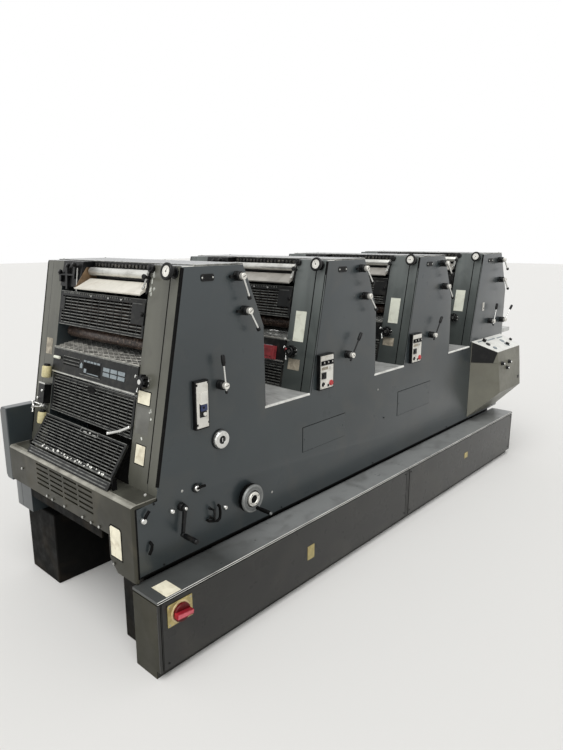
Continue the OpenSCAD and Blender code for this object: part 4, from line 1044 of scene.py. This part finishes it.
def strand_tree():
    """Gives every edge of a wire drawing a strip of metal with a flat or round section"""
    tree, given, result = new_tree("strands", [("Radius", "Float"), ("Sides", "Int")])
    wire = wired(tree, "GeometryNodeMeshToCurve")
    section = wired(tree, "GeometryNodeCurvePrimitiveCircle")
    strip = wired(tree, "GeometryNodeCurveToMesh", Fill_Caps=True)
    linked(tree, (given, "Geometry", wire, "Mesh"), (given, "Radius", section, "Radius"),
           (given, "Sides", section, "Resolution"), (wire, "Curve", strip, "Curve"),
           (section, "Curve", strip, "Profile Curve"))
    return ended(tree, given, result, strip, "Mesh")


STRANDS = strand_tree()


def strands(name, chains, radius, sides, paint, body="press", slot="lever_steel"):
    """Rods, wires or mesh strands along chains of points in millimetres"""
    verts, edges = [], []
    for chain in chains:
        edges += [(len(verts) + n, len(verts) + n + 1) for n in range(len(chain) - 1)]
        verts += chain
    wire = bpy.data.meshes.new("wire")
    wire.from_pydata(verts, edges, [])
    mesh = baked(STRANDS, wire, Radius=radius, Sides=sides, Paint=paint)
    mesh.transform(TO_FRAME)
    return piece(name, mesh, [], body, slot)


for unit in UNITS:
    chains = []
    top_x = unit * PITCH + front_x(BEAM_TOP) - 6
    for row in range(12):
        runs = [10 + row * 11.2 + (5.6 if (step + row) % 2 else -5.6) for step in range(33)]
        chains.append([(top_x + run, 192 + step * 20.9, 1134 + 26 * run / 145)
                       for step, run in enumerate(runs)])
    front_wire = WORN_BLACK_AND_HIGHLIGHT if unit else SHELF_WIRE
    strands(f"mesh_shelf_{unit + 1}", chains[:7], STRAND_R, 4, front_wire, slot="guard_black")
    strands(f"mesh_shelf_back_{unit + 1}", chains[7:], STRAND_R, 4, WORN_BLACK_AND_HIGHLIGHT, slot="guard_black")
bm = bmesh.new()
for unit in UNITS:
    top_x = unit * PITCH + front_x(BEAM_TOP) - 6
    slab(bm, [(top_x + 138, 1156), (top_x + 145, 1157), (top_x + 145, 1162), (top_x + 138, 1161)],
         INNER_LOW + 0.2, INNER_HIGH - 0.2)
    for y in (192, 414, 636, 857):
        slab(bm, [(top_x + 6, 1126), (top_x + 138, 1150), (top_x + 138, 1156), (top_x + 6, 1132)], y, y + 5)
    block(bm, (top_x + 0.5, INNER_LOW + 0.2, 1131), (top_x + 6, INNER_HIGH - 0.2, 1137), 1)
piece("shelf_bearers", bm, [GUARD_BLACK, SHELF_WIRE], slot="guard_black", bevel=0.8)

# Column fittings: a fluted black knob on each operator column with two small pull knobs, and
# on the far column of the first unit two cream bottles with a black valve box between them.
CLEAR_BOTTLE = finish("cream_bottle", (196, 186, 140), 0.3, mottle=0.12, patch=30, grain=200, bump=0.03,
                      dirt=(130, 112, 60), dirty=0.5, dirt_scale=30, coat=0.3)
bm = bmesh.new()
for unit in UNITS:
    place = on_front(unit, 140, 1078)
    turned(bm, [(22, 0), (26, 2), (26, 6), (22, 8)], place, 32, 1)
    for flute in range(8):
        block(bm, (14, -6, 8), (29.6, 6, 30), 0, place @ spun(360 / 8 * flute))
    turned(bm, [(20, 7), (21, 9), (21, 31), (18, 34), (10, 34), (9, 32.5), (0, 32.5)], place, 40)
    turned(bm, [(12, 33), (12, 33.8), (10, 33.8)], place, 24, 1)
    turned(bm, [(4, 0), (4, 16), (7, 18), (7, 24), (0, 26)],
           on_front(unit, 178, 1090) @ aimed((-0.3, 0.2, 1)), 14, 1)
    turned(bm, [(3, 0), (3, 30), (5, 32), (5, 38), (0, 40)],
           on_front(unit, 182, 1064, 5) @ aimed((0.6, -1, 0.5)), 12, 1)
for z in (767, 983):
    bottle = on_front(0, 888.5, z, 21.5) @ spun(-90, "X")
    turned(bm, [(15, 0), (20, 3), (21.5, 8), (21.5, 50), (19, 55), (13, 56)], bottle, 32, 2)
    turned(bm, [(15, 55), (15, 64), (13, 66), (0, 66)], bottle, 28, 0)
valve = on_front(0, 894, 865)
block(bm, (-27, 0, 0), (27, 96, 36), 0, valve)
block(bm, (-29, 90, 0), (29, 97, 37), 1, valve)
for x, y in ((16, 60), (-20, 20)):
    turned(bm, [(7, 0), (7, 6), (5, 8), (0, 8)], valve @ Matrix.Translation((x, y, 36)), 16, 1)
turned(bm, [(8, 0), (8, 34), (10, 36), (10, 46), (0, 48)],
       valve @ aimed((1, 0.05, 0.1), (-30, -16, 16)), 16, 1)
turned(bm, [(3, 0), (3, 34), (6, 36), (6, 44), (0, 46)],
       valve @ aimed((-1, 0.2, 0.6), (-22, -12, 24)), 12, 1)
spindle = valve @ aimed((-0.35, 0, 1), (-24, -26, 6))
turned(bm, [(5, -8), (5, 40), (8, 42), (8, 50), (0, 52)], spindle, 16, 1)
cross = spindle @ Matrix.Translation((0, 0, 46)) @ spun(math.degrees(0.4))
for spoke in range(4):
    turned(bm, [(3.4, 6), (3.4, 20), (5, 22), (5, 27), (0, 29)],
           cross @ spun(360 / 4 * spoke) @ spun(90, "Y"), 12, 1)
piece("column_knobs_and_valves", bm, [BLACK_PLASTIC, CHROME, CLEAR_BOTTLE], slot="black_plastic",
      replaces="column_fittings", bevel=0.8)

# Plates on the columns: bare sheets of aluminium in cream, white or tan, glued or riveted on,
# two of them on a black backing. A round bar sticks out of the far column.
PALE_PLATE = finish("pale_plate", (226, 228, 212), 0.45, mottle=0.04, patch=16, bump=0.02,
                    dirt=(150, 144, 120), dirty=0.4, dirt_scale=24)
TAN_PLATE = finish("tan_plate", (150, 142, 126), 0.5, mottle=0.2, patch=30, dirt=(90, 84, 74),
                   dirty=0.7, dirt_scale=50)
bm = bmesh.new()
for unit, y, z, wide, high, out, paint in (
        (0, 141, 1016, 86, 58, 0.7, 3), (0, 128, 796, 68, 84, 0.7, 3), (0, 141, 1016, 78, 50, 1, 2),
        (0, 128, 796, 60, 76, 1, 2), (1, 120, 1203, 67, 150, 1, 0), (2, 120, 1205, 66, 150, 1, 0),
        (3, 125, 1200, 70, 148, 1, 0), (1, 127, 1016, 74, 54, 1, 1), (2, 131, 1020, 74, 48, 1, 1),
        (0, 925, 1128, 56, 76, 1.2, 1)):
    block(bm, (-wide / 2, -high / 2, -0.5), (wide / 2, high / 2, out), paint, on_front(unit, y, z))
turned(bm, [(5, 0), (7, 2), (7, 46), (5, 48), (0, 48)], on_front(0, 838, 1088, 16) @ aimed((1, 0, 0)), 18)
piece("bare_plates", bm, [PALE_PLATE, TAN_PLATE, LABEL, NEAR_BLACK_AND_SHADE], slot="duct_cream", bevel=0.3)

# Wear on the first column: a square that was painted over in another grey, and chips in the
# enamel down to the pale primer, each a thin uneven flake.
REPAINT = finish("repaint_grey", (98, 98, 93), 0.4, mottle=0.12, patch=12, dirt=(84, 82, 74), dirty=0.4,
                 dirt_scale=14, coat=0.6, shine=0.1)
CHIPS = finish("chip_primer", (190, 192, 184), 0.6, mottle=0.3, patch=60, dirt=(110, 108, 98),
               dirty=0.9, dirt_scale=70)
CHIP_SIDES = 9
RAGGED = 0.35
bm = bmesh.new()
block(bm, (-43, -53, -0.5), (43, 52, 0.25), 0, on_front(0, 136, 927))
for y, z, wide, high in (
        (165, 1488, 9, 16), (174, 1500, 7, 8), (176, 1428, 6, 15), (171, 1414, 7, 10), (155, 1434, 6, 7),
        (89, 974, 5, 9), (97, 967, 4, 4), (84, 944, 4, 6), (130, 860, 6, 6), (172, 1462, 4, 12)):
    outline = []
    for n in range(CHIP_SIDES):
        angle = math.tau * n / CHIP_SIDES
        outline.append((wide * (1 + RAGGED * math.sin(5 * n + z)) * math.cos(angle),
                        high * (1 + RAGGED * math.sin(4 * n + y)) * math.sin(angle)))
    slab(bm, outline, -0.3, 0.4, "z", 1, on_front(0, y, z))
piece("column_wear", bm, [REPAINT, CHIPS])

# Well rods: a chrome rod lies across the operator casing in each well, near the slope of the
# next tower.
rods = [[(unit * PITCH + 190, 168, 898), (unit * PITCH + 160, 8, 898)] for unit in UNITS[1:]]
strands("well_rods", rods, 4.5, 10, CHROME)

# Dials: each stands off its tower on a neck, with a black rim round a white face that has
# plain grey marks and a fine pointer.
DIAL_WHITE = finish("dial_white", (232, 230, 222), 0.3, mottle=0.03, patch=30, bump=0.01,
                    dirt=(150, 140, 120), dirty=0.3, dirt_scale=60, coat=0.4)
GREY_MARK = finish("grey_mark", (120, 122, 122), 0.5, mottle=0.1, patch=60)
MARKS = 20
DIAL_FACE = 43.8
bm = bmesh.new()
for unit in UNITS:
    place = on_front(unit, 36, 1499)
    turned(bm, [(21, 0), (23, 2), (23, 6), (20, 8), (14, 8)], place, 40)
    turned(bm, [(13, 0), (13, 33)], place, 28)
    turned(bm, [(28, 32), (32, 33), (33, 36), (33, 43), (30, 46), (23, 46), (21.2, 43.6)], place, 48)
    turned(bm, [(21.4, 40), (21.4, DIAL_FACE), (0, DIAL_FACE)], place, 48, 1)
    for mark in range(MARKS):
        block(bm, (15 if mark % 2 else 13, -0.4, 43.4), (18, 0.4, 44.1), 2,
              place @ spun(360 / MARKS * mark))
    block(bm, (-2, -0.6, 43.5), (15, 0.6, 44.6), 0, place @ spun(math.degrees(1.1 + unit)))
    turned(bm, [(3, 43), (3, 45), (0, 45.4)], place, 16)
piece("dials", bm, [BLACK_PLASTIC, DIAL_WHITE, GREY_MARK], slot="black_plastic", replaces="tower_dials",
      bevel=0.5)

# Levers: each turns on a black moulded barrel bolted to the operator face. The hub is
# nickel-plated, the rod is bright steel, and the impression levers end in tapered black grips.
HUB_WHITE = finish("hub_nickel", (222, 220, 212), 0.32, 0.5, mottle=0.06, patch=30,
                   dirt=(110, 100, 86), dirty=0.4, dirt_scale=60)
IMPRESSION = (443, 1046)
UPPER_ROLLER = (548, 1478)
LOWER_ROLLER = (584, 1336)
FEED_LEVER = (3273, 1036)
BARREL = [(19, -0.5), (20, 1), (20, 8), (18.6, 9), (18.6, 11), (20, 12), (20, 27), (18.4, 30), (8, 30)]
bm = bmesh.new()
barrels = [(unit * PITCH + x, z) for unit in UNITS for x, z in (IMPRESSION, UPPER_ROLLER, LOWER_ROLLER)]
for x, z in barrels + [FEED_LEVER]:
    turned(bm, BARREL, on_face(x, z), 36)
    if z > SHOULDER:
        slab(bm, [(x - 44, z - 7), (x - 10, z - 11), (x - 10, z + 5), (x - 42, z + 4)], -14, -2)
piece("lever_sockets", bm, [BLACK_PLASTIC], slot="black_plastic", replaces="lever_barrels", bevel=0.8)


def hand_lever(node, x, z, lean, rod, long, grip, tail, paint=0):
    """A lever in one piece: hub, rod, grip and tail, with its own finishes"""
    place = on_face(x, z, 30.3) @ spun(-lean)
    bm = bmesh.new()
    turned(bm, [(13, 0), (14, 1.5), (14, 16), (12.6, 18), (0, 18)], place, 32, 2)
    block(bm, (-10, -1.3, 17.6), (10, 1.3, 18.3), 1, place)
    stem = place @ Matrix.Translation((0, 0, 9)) @ spun(-90, "X")
    turned(bm, [(rod, -tail + 1), (rod, long - grip + 1)], stem, 20, paint)
    if tail:
        turned(bm, [(0, -tail), (rod, -tail + 1), (rod + 1.6, -tail + 3), (rod + 1.6, -tail + 12),
                    (rod, -tail + 14)], stem, 18, 1)
    grip_low = long - grip
    if grip > 20:
        turned(bm, [(5, grip_low), (7.5, grip_low + 3), (9, grip_low + 14), (9, long - 5),
                    (6.5, long - 1), (0, long)], stem, 28, 1)
    else:
        turned(bm, [(4, grip_low - 6), (8, grip_low - 6), (9, grip_low - 4), (9, long - 1.5),
                    (7, long), (0, long)], stem, 24, 1)
    piece(node + "_dressed", bm, [CHROME, BLACK_PLASTIC, HUB_WHITE], node, "lever_steel", node, 0.5)


for unit, (impression, upper, lower) in enumerate(
        ((-6, 158, 148), (34, 142, 140), (34, 136, 141), (16, 134, 136))):
    for kind, (x, z), lean, measures in (
            ("impression", IMPRESSION, impression, (4, 130, 46, 34, 1 if unit in (1, 2) else 0)),
            ("upper_roller", UPPER_ROLLER, upper, (4.5, 102, 8, 0)),
            ("lower_roller", LOWER_ROLLER, lower, (4.5, 102, 8, 0))):
        hand_lever(f"{kind}_lever_{unit + 1}", unit * PITCH + x, z, lean, *measures)
hand_lever("feed_lever", *FEED_LEVER, 48, 4, 150, 46, 0)

# Face fittings: turned chrome knobs, the register ring and a pull handle on the first unit,
# bent black hooks of round bar beside them, and four bright screw heads further along.
CRANK_AT = (222, 588)
WHEEL_AT = (588, 508)
bm = bmesh.new()
turned(bm, [(17, 0), (17, 16), (15, 20), (8, 20)], on_face(*CRANK_AT), 32, 1)
turned(bm, [(45, 0), (45, 8), (40, 12), (20, 12)], on_face(*WHEEL_AT), 48, 1)
ring = on_face(437, 814)
turned(bm, [(40, 0), (43, 1), (43, 5), (40, 8)], ring, 56, 1)
turned(bm, [(38, 6), (40, 8), (40, 14), (36, 20), (28, 22), (18, 20), (16, 15)], ring, 56)
turned(bm, [(16.2, 12), (16.2, 16), (13, 17), (6, 17), (5, 18.5), (0, 18.5)], ring, 48, 1)
block(bm, (-1.5, -8, 18), (1.5, 8, 19.4), 0, ring)
for x, z, radius, tall in ((176, 584, 10, 14), (302, 640, 13, 14), (454, 503, 10, 14), (42, 592, 12, 16)):
    turned(bm, [(radius - 2, 0), (radius, 1.5), (radius, tall - 4), (radius - 2.5, tall),
                (radius * 0.45, tall), (radius * 0.4, tall - 1.5), (0, tall - 1.5)], on_face(x, z), 28)
turned(bm, [(17, 0), (19, 2), (19, 7), (14, 9)], on_face(302, 640), 30, 1)
for z in (486, 526):
    turned(bm, [(7, 0), (7, 3), (4.6, 5), (4.6, 28)], on_face(372, z), 20, 1)
turned(bm, [(0, -6), (4, -5), (5, -2), (5, 42), (4, 45), (0, 46)], aimed((0, 0, 1), (372, -31, 486)), 20, 1)
piece("face_knobs", bm, [CHROME, BLACK_PLASTIC], slot="lever_steel", replaces="face_fittings", bevel=0.4)
hook_chains = [
    [(356, 0, 478), (356, -14, 478), (372, -20, 474), (398, -20, 466), (410, -20, 474),
     (414, -20, 500), (410, -20, 528), (402, -20, 536)],
    [(44, -14, 604), (52, -16, 616), (65, -14, 627)],
    [(302, -12, 640), (322, -14, 644), (341, -12, 641)],
    [(70, 0, 492), (70, -14, 486), (66, -16, 470), (58, -12, 450)]]
strands("face_hooks", hook_chains, 6, 12, NEAR_BLACK_AND_SHADE, slot="black_plastic")
spots = [((x, 0, z), (0, -1, 0)) for x, z in ((232, 649), (754, 472), (1627, 800), (60, 690))]
fasteners("face_dots", spots, [(6, -0.5), (6, 1.6), (4, 2.6), (0, 2.6)], STEEL)

# Hand crank: a cast arm on a turned boss, with a black grip that stands out from its end and
# a chrome nut in the middle. It rests pointing down.
bm = bmesh.new()
place = on_face(*CRANK_AT, 20.3) @ spun(-188)
turned(bm, [(13, 0), (14, 1.5), (14, 12), (12, 14), (7, 14)], place, 32)
turned(bm, [(7.5, 13), (7.5, 15), (6, 18), (0, 19)], place, 24, 1)
slab(bm, [(-8, 0), (8, 0), (6, 112), (-6, 112)], 2, 13, "z", 0, place)
turned(bm, [(8, 1), (9, 2), (9, 13), (7, 15), (7, 18), (10, 20), (11, 24), (11, 90), (10, 95), (7, 98),
            (0, 98)], place @ Matrix.Translation((0, 110, 0)), 32)
piece("crank", bm, [BLACK_PLASTIC, CHROME], "hand_crank", "black_plastic", "hand_crank", 0.7)

# Handwheel: a dished cast wheel with a black tyre, a bright rim and a grey web, a nickel hub
# with four screws, and a black handle that turns on its own pin.
WHEEL_GREY = finish("wheel_grey", (112, 114, 113), 0.35, 0.2, mottle=0.12, patch=14, dirt=(50, 50, 50),
                    dirty=0.5, dirt_scale=30)
WHEEL_RIM = finish("wheel_rim", (126, 128, 126), 0.34, 0.3, mottle=0.12, patch=14, dirt=(70, 70, 68),
                   dirty=0.5, dirt_scale=30)
GREY, NICKEL, BLACK, RIM = range(4)
bm = bmesh.new()
place = on_face(*WHEEL_AT, 12.3)
turned(bm, [(40, 0), (60, 0), (63, 3), (64, 8), (64, 24), (63, 30), (60, 33.4), (57, 34), (54, 33),
            (51, 31), (48, 31), (47, 29.6), (45.5, 29.6), (44.5, 31), (38, 31), (36.5, 29), (32, 29)],
       place, 64, [BLACK] * 4 + [RIM] * 4 + [GREY] * 6 + [BLACK] * 2)
turned(bm, [(33, 27), (33, 37), (31.5, 39), (20, 39), (18, 36)], place, 56, NICKEL)
turned(bm, [(18.2, 30), (18.2, 36), (16, 37), (7, 37), (6, 38.5), (0, 38.5)], place, 40, BLACK)
for screw in range(4):
    turned(bm, [(3, 38.6), (3, 39.4), (0, 39.6)],
           place @ spun(90 * screw + 27) @ Matrix.Translation((26, 0, 0)), 12, BLACK)
handle = place @ spun(-67) @ Matrix.Translation((54, 0, 0))
turned(bm, [(6, 30), (9, 33), (9, 38), (6, 40), (6, 45), (8, 49), (9, 60), (9, 106), (7.5, 114)], handle,
       28, BLACK)
turned(bm, [(7, 114), (7, 117), (5.5, 120), (0, 120)], handle, 24, GREY)
piece("wheel", bm, [WHEEL_GREY, HUB_WHITE, NEAR_BLACK_AND_SHADE, WHEEL_RIM], "handwheel", "black_plastic",
      "handwheel", 0.6)

# Switch panels: white enamelled plates in black cases. The first unit has one dark blue
# main switch with a light handle, and the next two have rows of switches and lamps.
WHITE_PLATE = finish("white_plate", (214, 212, 204), 0.4, mottle=0.05, patch=14, bump=0.02,
                     dirt=(140, 130, 110), dirty=0.5, dirt_scale=18)
BLUE = finish("dark_blue_switch", (28, 44, 84), 0.35, mottle=0.1, patch=30)
RED = finish("switch_red", (176, 34, 38), 0.36, mottle=0.08, patch=26, dirt=(90, 30, 28), dirty=0.4,
             dirt_scale=40, coat=0.2)
bm = bmesh.new()
for low, high, paint in (
        ((300, -18, 885), (370, 0, 1083), 1), ((306, -21, 892), (364, -17, 1076), 0),
        ((318, -24, 936), (352, -20.6, 992), 1), ((319, -31, 990), (351, -20.6, 1038), 0),
        ((321, -28, 962), (353, -23, 989), 3), ((330, -30, 972), (338, -27, 980), 1)):
    block(bm, low, high, paint)
turned(bm, [(8, 23), (8, 29), (6, 31), (0, 31)], on_face(342, 948), 24)
for z in (902, 1064):
    block(bm, (304, -21.4, z), (311, -17, z + 9), 1)
    block(bm, (360, -21.4, z + 4), (366, -17, z + 12), 1)
for unit in (1, 2):
    x = unit * PITCH + 200
    for x0, y0, z0, x1, y1, z1, paint in (
            (0, -20, 900, 112, 0, 1076, 1), (6, -21.5, 906, 106, -19.6, 1070, 0),
            (10, -23.4, 1048, 102, -21, 1066, 0), (8, -23, 1022, 104, -21, 1045, 1),
            (12, -22.6, 1000, 62, -21, 1014, 5), (12, -26, 956, 46, -21, 988, 1),
            (20, -29, 966, 38, -25.6, 978, 1), (60, -22.4, 962, 100, -21, 986, 0),
            (60, -24, 912, 72, -21, 924, 1)):
        block(bm, (x + x0, y0, z0), (x + x1, y1, z1), paint)
    for column in (24, 56, 88):
        turned(bm, [(9, 23), (9, 28), (7, 30), (0, 30)], on_face(x + column, 1034), 20, 1)
        block(bm, (x + column - 2, -31, 1034), (x + column + 2, -29.6, 1042), 0)
    for column, paint in ((76, 2), (94, 0)):
        turned(bm, [(6, 21), (6, 23), (4.5, 25), (0, 25)], on_face(x + column, 1007), 18, paint)
    turned(bm, [(14, 21), (14, 26), (11, 29), (0, 29)], on_face(x + 88, 928), 24, 4)
    turned(bm, [(11, 21), (11, 24), (9, 26), (0, 26)], on_face(x + 26, 928), 24, 1)
    slab(bm, [(x + 22, 916), (x + 30, 912), (x + 58, 938), (x + 50, 944)], -28, -21)
    for column in (10, 102):
        for z in (910, 1066):
            turned(bm, [(3, 20), (3, 22.6), (0, 23)], on_face(x + column, z), 12, 2)
x = 3 * PITCH + 318
block(bm, (x, -4, 1128), (x + 22, 0, 1186), 0)
block(bm, (x + 6, -4.6, 1140), (x + 16, -3.6, 1150), 1)
piece("switch_cases", bm, [WHITE_PLATE, BLACK_PLASTIC, STEEL, BLUE, RED, TAN_PLATE], slot="console_top",
      replaces="switch_panels", bevel=0.8)

# Console: a white sloping desk of folded sheet, slanted at its inking end, with grey strips
# and turned keys and knobs let into its top and a black plate over its end.
CONSOLE_WHITE = finish("console_top", (222, 222, 216), 0.35, mottle=0.04, patch=8, bump=0.02,
                       dirt=(150, 146, 134), dirty=0.35, dirt_scale=16)
POD_GREY = finish("pod_enamel", (104, 103, 92), 0.4, mottle=0.1, patch=4, dirt=(84, 80, 68), dirty=0.5,
                  dirt_scale=6)
CONSOLE_X = 2806
CONSOLE_END = 3302
DESK_REACH = 153
DESK_FRONT_Z = 855
DESK_BACK_Z = 925
DESK_LOW = 772
DESK_FALL = (DESK_BACK_Z - DESK_FRONT_Z) / DESK_REACH
END_SLANT = 118 / 180
POD_SET_IN = 118


def desk_front(z):
    """Where the front of the desk, which leans outwards going down, lies at one height"""
    return -DESK_REACH - (DESK_FRONT_Z - z) * 27 / 292


def desk_plan(y, inset=0):
    """Where the slanted end of the desk lies at one reach"""
    return CONSOLE_X + inset - END_SLANT * y


def desk_shell(bm, section, inset, paint):
    """A solid between the slanted end and the square end, from a section of Y and Z points"""
    closed(bm, [(desk_plan(y, inset), y, z) for y, z in section],
           [(CONSOLE_END, y, z) for y, z in section], paint)


def on_desk(along, reach):
    """A place on the desk top: distance past its slanted end and reach from the operator face"""
    spot = (desk_plan(-reach) + along, -reach, DESK_BACK_Z - reach * DESK_FALL)
    return Matrix.Translation(spot) @ spun(math.degrees(math.atan(DESK_FALL)), "X")


bm = bmesh.new()
desk_shell(bm, [(desk_front(DESK_LOW), DESK_LOW), (-0.2, DESK_LOW), (-0.2, DESK_BACK_Z - 4), (-152, 851)],
           2, 0)
desk_shell(bm, [(-DESK_REACH, 851), (-0.2, DESK_BACK_Z - 4), (-0.2, DESK_BACK_Z),
                (-DESK_REACH, DESK_FRONT_Z)], 0, 1)
piece("console_desk", bm, [POD_GREY, CONSOLE_WHITE], slot="console_top", replaces="control_console",
      bevel=2.5, steps=3)
bm = bmesh.new()
outline = [(desk_plan(y, 1.2), y, z) for y, z in ((-4, 774), (-131, 774), (-151, 850), (-4, 917))]
closed(bm, outline, [(x + 2.5, y, z) for x, y, z in outline])
piece("console_end_plate", bm, [BLACK_PLASTIC], slot="black_plastic", bevel=0.5)
bm = bmesh.new()
for along, reach, wide in ((74, 22, 64), (236, 31, 128), (378, 34, 96)):
    block(bm, (-wide / 2, -5, -1), (wide / 2, 5, 1.6), 2, on_desk(along, reach))
for along, reach, radius, tall, paint in (
        (120, 29, 14, 20, 0), (81, 67, 16, 8, 0), (66, 113, 16, 5, 2), (315, 71, 20, 2.5, 2),
        (277, 114, 22, 3, 2), (277, 114, 14, 15, 0), (430, 84, 11, 13, 0), (120, 29, 6, 23, 1)):
    turned(bm, [(radius, -1), (radius, tall - 1.5), (radius - 1.5, tall), (radius * 0.5, tall), (0, tall)],
           on_desk(along, reach), 32, paint)
piece("console_buttons", bm, [BLACK_PLASTIC, CHROME, KEYS], slot="black_plastic", bevel=0.6)

# Pod: a grey sheet box screwed to the operator face under the desk, deeper at the top, with
# three black knobs along its front and a dark cable hole at the feed end.
bm = bmesh.new()
pod_top = DESK_LOW - 0.2
desk_shell(bm, [(-180, 563), (-0.2, 372), (-0.2, pod_top), (desk_front(DESK_LOW), pod_top)], 4, 0)
for along, z in ((44, 766), (168, 762), (130, 724)):
    spot = on_face(CONSOLE_X + POD_SET_IN + along, z)
    turned(bm, [(14, 150), (14, 166), (13, 168), (11, 170), (11, 181), (10, 183)], spot, 28, 1)
    turned(bm, [(8, 182), (8, 184), (6.5, 186), (0, 186)], spot, 24, 2)
block(bm, (3252, -177, 614), (3278, -170, 634), 1)
piece("console_pod", bm, [POD_GREY, BLACK_PLASTIC, CHROME], replaces="control_pod", bevel=6, steps=3)

# Feed table: a steel table plate past the last tower, on two gussets, with two bars that
# carry the guide wheels, and rails for the sheets along its top.
refined("feed_table", "feed_bench", [WELL_PLATE, WORN_AND_HIGHLIT_ENAMEL], slot="worn_plate", bevel=1.5)
bm = bmesh.new()
for y in range(240, 840, 98):
    for x in (3405, 3550):
        turned(bm, [(10.2, 0), (16, 0), (17, 2), (17, 16), (16, 18), (10.2, 18)],
               aimed((0, 1, 0), (x, y, 955)), 24, 1)
    block(bm, (3340, y - 3, 939.6), (3596, y + 3, 943), 0)
for y in (172, 876):
    turned(bm, [(4, 0), (4, 18), (9, 20), (9, 28), (0, 30)], aimed((0, 0, 1), (3478, y, 940)), 18, 1)
piece("feed_wheels_and_rails", bm, [STEEL, BLACK_PLASTIC], slot="roller_steel", bevel=0.6)

# Main switch: a red rotary knob on a yellow plate, with a cream ring round it and four
# screws, at the end of the first step box.
DEEP_RED = finish("deep_red_disc", (84, 12, 16), 0.3, mottle=0.12, patch=26, shine=0.25)
BAR_RED = finish("bar_red", (150, 34, 46), 0.34, mottle=0.12, patch=30, dirt=(80, 24, 28), dirty=0.5,
                 dirt_scale=40)
RUBBED_RED = finish("rubbed_red", (198, 84, 96), 0.34, mottle=0.12, patch=30, dirt=(120, 40, 44),
                    dirty=0.5, dirt_scale=40, coat=0.2)
SWITCH_RING = finish("switch_ring_cream", (206, 186, 140), 0.4, mottle=0.12, patch=30,
                     dirt=(120, 90, 60), dirty=0.6, dirt_scale=40)
SWITCH_AT = (88, 256)
bm = bmesh.new()
block(bm, (30, STEP_FRONT - 4, 211), (146, STEP_FRONT + 0.2, 301))
turned(bm, [(44, 4), (44, 5.2), (40, 6), (0, 6)], on_face(*SWITCH_AT, -STEP_FRONT), 56, 2)
for x in (38, 138):
    for z in (219, 293):
        turned(bm, [(3.4, 3.8), (3.4, 5), (0, 5.6)], on_face(x, z, -STEP_FRONT), 14, 1)
piece("switch_plate", bm, [YELLOW, STEEL, SWITCH_RING], slot="switch_red", bevel=0.8)
bm = bmesh.new()
place = on_face(*SWITCH_AT, 6.3 - STEP_FRONT)
turned(bm, [(36, 0), (38, 2), (38, 10), (35, 14), (14, 14)], place, 56)
slab(bm, [(-38, -9), (-35, -11), (35, -10), (38, -8), (38, 8), (35, 10), (-35, 11), (-38, 9)], 10, 31,
     "z", 2, place @ spun(-6))
slab(bm, [(-36, -8), (36, -7), (36, 7), (-36, 8)], 30.6, 31.8, "z", 1, place @ spun(-6))
piece("switch_knob", bm, [DEEP_RED, RUBBED_RED, BAR_RED], "main_switch_knob", "switch_red",
      "main_switch_knob", 1.2, 3)
